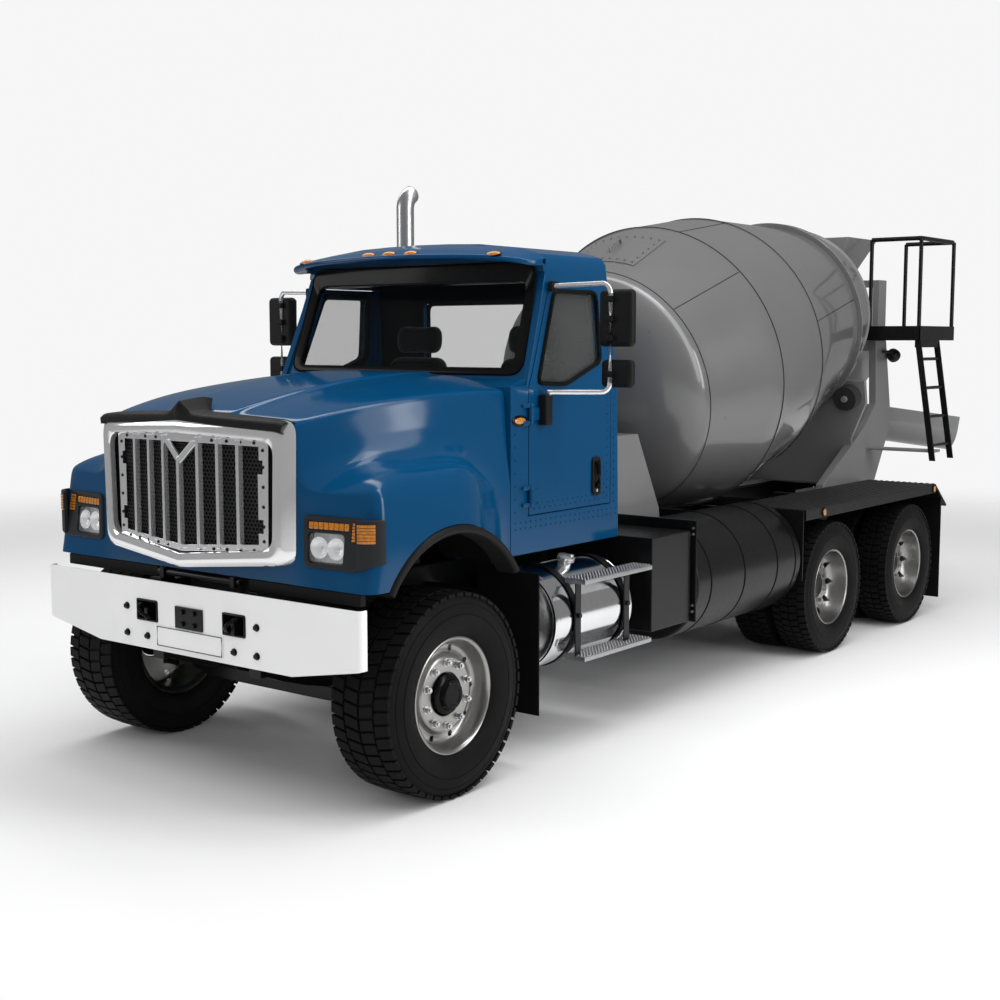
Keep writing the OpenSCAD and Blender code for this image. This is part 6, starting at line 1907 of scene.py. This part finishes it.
@dataclass
class SideGear:
    """Fuel tanks, studded steps, water tank bands and guard bolts on both sides."""

    tank_x: float = 0.870
    tank_z: float = 0.745
    tank_r: float = 0.300
    tank_span: Pair = (1.010, 1.810)
    step_x: Pair = (1.107, 1.252)
    step_span: Pair = (1.175, 1.905)
    step_heights: Pair = (0.965, 0.512)

    def fuel_tanks(self) -> None:
        """Polished tanks with dished ends, a weld ring and a filler."""
        start, end = self.tank_span
        length, r = end - start, self.tank_r
        profile = [(0.028, 0.0), (0.024, 0.12), (0.014, 0.22), (0.004, 0.268), (0.0, 0.280), (0.002, 0.292),
                   (0.010, 0.300), (0.030, 0.300), (0.034, 0.2975), (0.040, 0.2975), (0.044, 0.300)]
        profile = [(a, min(rad, r)) for a, rad in profile]
        whole = profile + [(length - a, rad) for a, rad in reversed(profile)]
        tank = Shop.lathe("tank", whole, (self.tank_x, start, self.tank_z), (0, 1, 0), 96)
        mount(Shop.both(tank, "fuel_tanks_polished"), "chassis", POLISHED, "fuel_tanks", angle=30)
        neck = Shop.rod("neck", (self.tank_x + 0.10, start + 0.34, self.tank_z + 0.27),
                        (self.tank_x + 0.118, start + 0.34, self.tank_z + 0.325), 0.040, 32, round_by=0.004)
        cap = Shop.rod("cap", (self.tank_x + 0.118, start + 0.34, self.tank_z + 0.322),
                       (self.tank_x + 0.126, start + 0.34, self.tank_z + 0.346), 0.054, 32, round_by=0.006)
        ears = Shop.box("ears", (self.tank_x + 0.085, start + 0.325, self.tank_z + 0.338),
                        (self.tank_x + 0.170, start + 0.355, self.tank_z + 0.358), 0.006)
        mount(Shop.both(Shop.join([neck, cap, ears], "filler"), "fuel_fillers"), "chassis", CHROME)

    def steps(self) -> None:
        """Folded treads with rows of round studs, on their hangers."""
        x0, x1 = self.step_x
        y0, y1 = self.step_span
        trays, studs = [], []
        for z in self.step_heights:
            tray = Shop.box("tray", (x0, y0, z), (x1, y1, z + 0.028), 0.004)
            trays.append(tray)
            x, y = x0 + 0.016, y0 + 0.018
            one = Shop.rod("stud", (x, y, z + 0.027), (x, y, z + 0.034), 0.0105, 10, 0.006)
            shifts = [(0.0225 * i, 0.0302 * j, 0) for i in range(6) for j in range(24) if i or j]
            studs.append(Shop.spread(one, shifts, "studs"))
        mount(Shop.both(Shop.join(trays + studs, "steps"), "steps_studded"), "chassis", TREAD_PLATE, "steps")
        hangers = []
        hang = self.tank_x + self.tank_r + 0.008
        for y in (y0, self.tank_span[1] - 0.116):
            hangers.append(Shop.plate("hanger", ((y, self.step_heights[1]), (y + 0.056, self.step_heights[1]),
                                               (y + 0.056, self.step_heights[0]), (y, self.step_heights[0])),
                                    Plane.SIDE, hang, hang + 0.008, 0.002))
        mount(Shop.both(Shop.join(hangers, "hangers"), "step_hangers"), "chassis", BLACK)

    def bands(self) -> None:
        """Grooves and end rings round the water tanks."""
        section = ((0.0, 0.396), (0.0, 0.4025), (0.003, 0.4035), (0.011, 0.4035), (0.014, 0.4025), (0.014, 0.396),
                   (0.0, 0.396))
        rings = [Shop.lathe("band", section, (0.852, y, 0.780), (0, 1, 0), 96) for y in (2.64, 3.10, 3.58, 3.86)]
        mount(Shop.both(Shop.join(rings, "bands"), "water_tank_bands"), "chassis", RUBBER)
        bolts = []
        for z in (1.165, 1.125, 0.66, 0.62):
            bolts.append(Shop.rod("bolt", (1.228, 2.430, z), (1.228, 2.4405, z), 0.010, 6, round_by=0.002))
        mount(Shop.both(Shop.join(bolts, "bolts"), "guard_bolts"), "chassis", STEEL)
        screen = Shop.box("screen", (0.66, 3.972, 0.62), (1.256, 3.982, 1.134), 0.003)
        mount(Shop.both(screen, "deck_front_screens"), "chassis", BLACK)

    def straps(self) -> None:
        """Strap bolts under the upper step."""
        pieces = []
        for y in (self.step_span[0] + 0.028, self.tank_span[1] - 0.088):
            pieces.append(Shop.rod("bolt", (self.tank_x + 0.31, y, 0.775), (self.tank_x + 0.335, y, 0.775), 0.016, 6,
                                   round_by=0.003))
        mount(Shop.both(Shop.join(pieces, "strap"), "tank_strap_bolts"), "chassis", BLACK)

    def build(self) -> set[str]:
        """Builds the gear and gives the nodes that it stands for."""
        self.fuel_tanks()
        self.steps()
        self.bands()
        self.straps()
        return {"fuel_tanks", "steps"}


@dataclass
class Decks:
    """Ribs and marker lamps on the rear decks."""

    top: float = 1.135
    span: Pair = (4.012, 6.500)
    edge: float = 1.262

    def build(self) -> None:
        """Builds the ribs and the lamps."""
        one = Shop.box("rib", (0.665, self.span[0], self.top - 0.001), (0.683, self.span[1], self.top + 0.005), 0.002)
        ribs = Shop.spread(one, [(0.052 * i, 0, 0) for i in range(1, 12)], "ribs")
        # The ribs are dark grey, lighter than the black deck: painted sheen for the light that the ribbed deck top
        # reflects.
        mount(Shop.both(ribs, "deck_ribs"), "chassis", DARK_GREY)
        lenses, feet = [], []
        for y, z in ((4.30, 1.097), (6.47, 1.095)):
            lenses.append(Shop.ball("lens", (self.edge + 0.002, y, z), 1.0, (0.013, 0.030, 0.030)))
            feet.append(Shop.lathe("foot", ((0.0, 0.0), (0.0, 0.036), (0.006, 0.036), (0.009, 0.031), (0.009, 0.0)),
                                   (self.edge, y, z), (1, 0, 0), 32))
        mount(Shop.both(Shop.join(lenses, "lenses"), "deck_lamps"), "chassis", AMBER)
        mount(Shop.both(Shop.join(feet, "feet"), "deck_lamp_feet"), "chassis", PLASTIC)


@dataclass
class Drum:
    """The drum: a turned shell with weld seams, a riveted hatch, a track ring, a mouth and spiral fins."""

    at: Triple = (0.0, 4.040, 2.160)
    tilt: float = 11.8
    line: tuple[Pair, ...] = ((-0.824, 0.886), (-0.114, 1.094), (0.624, 1.052), (2.288, 0.708))
    head_depth: float = 0.350
    wall: float = 0.014
    ring_t: float = 1.900
    ring_w: float = 0.110
    ring_up: float = 0.042

    def axis(self) -> Vector:
        """The drum's axis, towards the mouth."""
        a = math.radians(self.tilt)
        return Vector((0, math.cos(a), math.sin(a)))

    def radius(self, t: float) -> float:
        """The shell's outer radius at a place along the axis."""
        return on_line(self.line, t)

    def on(self, t: float, degrees: float, out: float = 0.0) -> Vector:
        """A point on the shell: along the axis, round from the left towards the top, and out of the skin."""
        a = math.radians(degrees)
        axis = self.axis()
        up = Vector((0, -axis.z, axis.y))
        side = Vector((1, 0, 0)) * math.cos(a) + up * math.sin(a)
        return Vector(self.at) + axis * t + side * (self.radius(t) + out)

    def shell(self) -> Object:
        """The turned shell, outside and inside, with the track ring and the rolled lip."""
        t0, r0 = self.line[0]
        outside = [(t0 - self.head_depth * math.sin(math.radians(a)), r0 * math.cos(math.radians(a)))
                   for a in (82, 76, 70, 62, 54, 46, 38, 30, 22, 15, 9, 4)]
        outside += [(t0, r0)]
        for (ta, ra), (tb, rb) in zip(self.line, self.line[1:]):
            outside += [(mix(ta, tb, k / 6), mix(ra, rb, k / 6)) for k in range(1, 7)]
        half = self.ring_w / 2
        ring = [(self.ring_t - half - 0.002, 0.0), (self.ring_t - half, self.ring_up - 0.004),
                (self.ring_t - half + 0.004, self.ring_up), (self.ring_t + half - 0.004, self.ring_up),
                (self.ring_t + half, self.ring_up - 0.004), (self.ring_t + half + 0.002, 0.0)]
        before = [p for p in outside if p[0] < self.ring_t - half - 0.01]
        after = [p for p in outside if p[0] > self.ring_t + half + 0.01]
        middle = [(t, self.radius(t) + up) for t, up in ring]
        end_t, end_r = self.line[-1]
        inside = [(end_t, end_r - self.wall), (end_t - 0.4, self.radius(end_t - 0.4) - self.wall),
                  (0.624, self.radius(0.624) - self.wall), (-0.114, self.radius(-0.114) - self.wall),
                  (t0, r0 - self.wall), (t0 - 0.20, r0 * 0.80), (t0 - 0.30, r0 * 0.45), (t0 - 0.31, 0.0)]
        profile = [(t0 - self.head_depth + 0.002, 0.0)] + before + middle + after + inside
        return Shop.lathe("drum_skin", profile, self.at, tuple(self.axis()), 160)

    def seams(self) -> None:
        """Weld seams round the shell and along it, dark grey as painted shade of their grooves, and the lip's roll."""
        rings = []
        for t in (self.line[0][0], self.line[1][0], self.line[2][0]):
            rings.append(Shop.ring("seam", tuple(Vector(self.at) + self.axis() * t), tuple(self.axis()),
                                   self.radius(t) + 0.0005, 0.0042, 160))
        for start, end, first in ((-0.815, -0.125, 42.5), (-0.10, 0.61, 72.5), (0.635, 1.84, 12.5)):
            for degrees in (first, first + 120, first + 240):
                path = [self.on(mix(start, end, k / 6), degrees) for k in range(7)]
                rings.append(Shop.bead("seam", path, 0.0034))
        # The seams are real beads, but their dark grey on the grey drum is painted shade, standing for the shadow
        # along the welds.
        mount(Shop.join(rings, "drum_seams"), "drum", DARK_GREY)
        t, r = self.line[-1]
        mouth = Vector(self.at) + self.axis() * (t - 0.008)
        lip = Shop.ring("drum_lip", tuple(mouth), tuple(self.axis()), r - 0.004, 0.018, 160)
        mount(lip, "drum", PALE_GREY)

    def hatch(self) -> None:
        """The bolted hatch and its rivets."""
        t0, t1, a0, a1 = -0.68, -0.27, 73.0, 107.0
        rows = [[self.on(mix(t0, t1, i / 6), mix(a0, a1, j / 14), 0.009) for j in range(15)] for i in range(7)]
        plate = Shop.skin("drum_hatch", rows, thick=0.012)
        Shop.soften(plate, 0.004, 2)
        spots = [(mix(t0 + 0.03, t1 - 0.03, k / 5), a) for k in range(6) for a in (a0 + 1.8, a1 - 1.8)]
        spots += [(t, mix(a0 + 1.8, a1 - 1.8, k / 8)) for k in range(1, 8) for t in (t0 + 0.03, t1 - 0.03)]
        rivets = [Shop.rod("rivet", tuple(self.on(t, a, 0.006)), tuple(self.on(t, a, 0.020)), 0.013, 10, 0.008)
                  for t, a in spots]
        grip = ((-0.08, 0.004), (-0.07, 0.045), (0.07, 0.045), (0.08, 0.004))
        handle = Shop.bead("handle", [self.on(-0.475 + d, 90, o) for d, o in grip], 0.008, sides=10)
        mount(plate, "drum", DRUM_GREY)
        mount(Shop.join(rivets + [handle], "drum_hatch_rivets"), "drum", DRUM_GREY)

    def fins(self) -> None:
        """Two spiral fins inside the mouth."""
        fins = []
        for start in (0.0, 180.0):
            rows = []
            for i in range(49):
                t = mix(0.70, 2.262, i / 48)
                a = start + 300 * i / 48
                rows.append([self.on(t, a, -self.wall + 0.001), self.on(t, a, -0.13), self.on(t + 0.01, a, -0.26)])
            fins.append(Shop.skin("fin", rows, thick=0.008))
        mount(Shop.join(fins, "drum_fins"), "drum", PALE_GREY)

    def build(self) -> set[str]:
        """Builds the drum and gives the node that it stands for."""
        mount(self.shell(), "drum", DRUM_GREY, "drum", angle=28)
        self.seams()
        self.hatch()
        self.fins()
        return {"drum"}


@dataclass
class RearGear:
    """The platform, its rail, the work lamp and the bolts of the rear pedestal."""

    tray: tuple[float, float, float, float] = (0.540, 1.095, 6.470, 7.270)
    low: float = 2.365
    top: float = 2.490
    rail_z: float = 3.235

    def platform(self) -> None:
        """The tray with a bar grating, corner posts and a looped top rail."""
        x0, x1, y0, y1 = self.tray
        sides = [Shop.box("edge", (x0, y0, self.low), (x0 + 0.012, y1, self.top), 0.003),
                 Shop.box("edge", (x1 - 0.012, y0, self.low), (x1, y1, self.top), 0.003),
                 Shop.box("edge", (x0, y0, self.low), (x1, y0 + 0.012, self.top), 0.003),
                 Shop.box("edge", (x0, y1 - 0.012, self.low), (x1, y1, self.top), 0.003)]
        bar = Shop.box("bar", (x0 + 0.020, y0 + 0.006, self.top - 0.045), (x0 + 0.027, y1 - 0.006, self.top - 0.008),
                       0.0015)
        sides.append(Shop.spread(bar, [(0.0345 * i, 0, 0) for i in range(1, 16)], "bars"))
        y, z = y0 + 0.08, self.top - 0.014
        cross = Shop.rod("cross", (x0 + 0.006, y, z), (x1 - 0.006, y, z), 0.005, 8)
        sides.append(Shop.spread(cross, [(0, 0.08 * i, 0) for i in range(1, 9)], "crosses"))
        for y in (y0 + 0.2, y1 - 0.2):
            sides.append(Shop.box("bearer", (x0 + 0.004, y - 0.02, self.low + 0.004),
                                  (x1 - 0.004, y + 0.02, self.top - 0.045), 0.003))
        for x in (0.630, 1.075):
            for y in (6.490, 7.250):
                sides.append(Shop.rod("post", (x, y, self.low + 0.01), (x, y, self.rail_z), 0.017, 16, round_by=0.002))
        path = [(x, y, self.rail_z) for x, y in ((0.630, 6.490), (1.035, 6.490), (1.063, 6.500), (1.075, 6.530),
                                                 (1.075, 7.210), (1.063, 7.240), (1.035, 7.250), (0.630, 7.250))]
        sides.append(Shop.bead("loop", path, 0.019, sides=14))
        mount(Shop.join(sides, "platform_grated"), "chassis", BLACK, "platform")

    def work_lamp(self) -> None:
        """A round lamp on a stalk beside the left leg."""
        path = [(0.596, 6.84, 2.262), (0.64, 6.86, 2.264), (0.66, 6.90, 2.256), (0.66, 6.93, 2.24)]
        stalk = Shop.bead("stalk", path, 0.012)
        profile = ((-0.055, 0.0), (-0.052, 0.022), (-0.040, 0.042), (-0.018, 0.056), (0.012, 0.060), (0.030, 0.060),
                   (0.034, 0.055), (0.030, 0.050), (0.030, 0.0))
        shell = Shop.lathe("shell", profile, (0.66, 6.946, 2.235), (0, 0.94, -0.34), 40)
        lens = Shop.ball("work_lamp_lens", (0.66, 6.974, 2.225), 1.0, (0.049, 0.016, 0.049))
        mount(Shop.join([stalk, shell], "work_lamp"), "chassis", BLACK)
        mount(lens, "chassis", CLEAR)

    def bolts(self) -> None:
        """Foot bolts of the pedestals and bolts on the roller brackets."""
        bolts = []
        for y in (6.40, 6.48, 6.56, 2.62, 2.72, 2.82):
            for z in (0.92, 1.00):
                bolts.append(Shop.rod("bolt", (0.430, y, z), (0.446, y, z), 0.014, 6, round_by=0.003))
        mount(Shop.both(Shop.join(bolts, "bolts"), "frame_bolts"), "chassis", STEEL)

    def build(self) -> set[str]:
        """Builds the gear and gives the node that it stands for."""
        self.platform()
        self.work_lamp()
        self.bolts()
        return {"platform"}


@dataclass
class Seats:
    """Two padded seats with piped seams on dark pedestals."""

    x: float = 0.470
    y: float = 1.290
    low: float = 1.560
    half: float = 0.250
    voxel: float = 0.008
    cap: float = 0.012
    pressure: float = 4.0
    frames: int = 20

    def pad(self, name: str, low: Point, high: Point, lean: float, corner: float) -> Object:
        """A pad blown up by the cloth solver from a slightly smaller block.

        Args:
            name: Name of the pad.
            low: Low corner.
            high: High corner.
            lean: How far back the pad's top lies behind its foot, per metre of height.
            corner: Reach of its rounded corners, seen from the front.

        Returns:
            The pad, with the simulation applied.
        """
        outline = rounded(((low[0], low[2]), (high[0], low[2]), (high[0], high[2]), (low[0], high[2])), corner)
        obj = Shop.plate(name, outline, Plane.FRONT, low[1], high[1], min(0.030, (high[1] - low[1]) * 0.3), 3)
        base = place(*low).z
        for vertex in obj.data.vertices:
            vertex.co.y += (vertex.co.z - base) * lean
        remesh = obj.modifiers.new("voxels", "REMESH")
        remesh.mode = "VOXEL"
        remesh.voxel_size = self.voxel
        Shop.apply(obj)
        self.puff(obj)
        Shop.smooth(obj, 60)
        return obj

    def puff(self, obj: Object) -> None:
        """Runs the cloth solver on a pad and caps how far its points move."""
        rest = [v.co.copy() for v in obj.data.vertices]
        cloth = obj.modifiers.new("puff", "CLOTH")
        cloth.settings.use_pressure = True
        cloth.settings.uniform_pressure_force = self.pressure
        cloth.settings.effector_weights.gravity = 0
        cloth.point_cache.frame_end = self.frames
        scene = bpy.context.scene
        for step in range(1, self.frames + 1):
            scene.frame_set(step)
        Shop.apply(obj)
        for vertex, start in zip(obj.data.vertices, rest):
            move = vertex.co - start
            if move.length > self.cap:
                vertex.co = start + move.normalized() * self.cap
        scene.frame_set(1)

    def piping(self) -> Object:
        """Piped seams round the cushion's and the backrest's faces."""
        x, y, z, h = self.x, self.y, self.low, self.half
        seat = [(px, py, z + 0.121) for px, py in rounded(((x - h + 0.045, y - 0.02), (x + h - 0.045, y - 0.02),
                                                           (x + h - 0.045, y + 0.33), (x - h + 0.045, y + 0.33)),
                                                          0.05)]
        back = [(px, y + 0.334 + (pz - z - 0.10) * 0.065 - 0.004, pz)
                for px, pz in rounded(((x - h + 0.05, z + 0.20), (x + h - 0.05, z + 0.20), (x + h - 0.05, z + 0.66),
                                       (x - h + 0.05, z + 0.66)), 0.06)]
        return Shop.join([Shop.bead("piping", path, 0.006, close=True) for path in (seat, back)], "seat_piping")

    def build(self) -> set[str]:
        """Builds both seats and gives the node that they stand for."""
        x, y, z, h = self.x, self.y, self.low, self.half
        inset = 0.010
        cushion = self.pad("seat_cushion_left", (x - h + inset, y - 0.06 + inset, z + inset),
                           (x + h - inset, y + 0.32, z + 0.112), 0.0, 0.045)
        back = self.pad("seat_back_left", (x - h + inset, y + 0.342, z + 0.115),
                        (x + h - inset, y + 0.428, z + 0.705), 0.065, 0.10)
        rest = self.pad("headrest_left", (x - 0.185, y + 0.392, z + 0.715), (x + 0.185, y + 0.462, z + 0.905),
                        0.06, 0.085)
        for obj in (cushion, back, rest):
            twin = Shop.other_side(obj, obj.name.replace("left", "right"))
            for piece in (obj, twin):
                mount(piece, "chassis", CLOTH, *(["seats"] if piece is cushion else []), angle=60)
        base = Shop.box("base", (x - h + 0.05, y + 0.01, 1.205), (x + h - 0.05, y + 0.37, z + 0.012), 0.02, 3)
        posts = [Shop.rod("post", (x + s * 0.07, y + 0.425, z + 0.68), (x + s * 0.07, y + 0.430, z + 0.76), 0.008, 12)
                 for s in (-1, 1)]
        mount(Shop.both(Shop.join([base] + posts, "base"), "seat_bases"), "chassis", PLASTIC)
        mount(Shop.both(self.piping(), "seat_pipings"), "chassis", TRIM_GREY)
        return {"seats"}


@dataclass
class SteeringWheel:
    """A thick rim and a dished hub, laid over the plain wheel."""

    centre: Triple = (0.470, 1.225, 1.990)
    radius: float = 0.209
    tilt: float = 42.0

    def build(self) -> None:
        """Builds the wheel's soft rim and its horn pad over the plain one."""
        a = math.radians(self.tilt)
        axis = (0.0, math.sin(a), math.cos(a))
        rim = Shop.ring("steering_rim", self.centre, axis, self.radius, 0.0185, 72)
        horn = Shop.lathe("steering_horn", ((0.0, 0.0), (0.0, 0.070), (0.022, 0.068), (0.034, 0.056), (0.040, 0.030),
                                            (0.041, 0.0)), self.centre, axis, 48)
        mount(Shop.join([rim, horn], "steering_cover"), "chassis", PLASTIC)


def main() -> None:
    """Builds the studio and every sub-assembly."""
    logging.basicConfig(level=logging.INFO, format="%(name)s: %(message)s")
    Studio().build()
    done: set[str] = set()
    for part in (FrontWheels(), TwinWheels(), Hood(), ArchFlares(), Grille(), Headlamps(), Bumper(), Cab(), Mirrors(),
                 SideGear(), Drum(), RearGear(), Seats()):
        LOG.info("building %s", type(part).__name__)
        done |= part.build()
    for trim in (Decks(), SteeringWheel()):
        LOG.info("building %s", type(trim).__name__)
        trim.build()
    RefinedNodes().build(done)


if __name__ == "__main__":
    main()
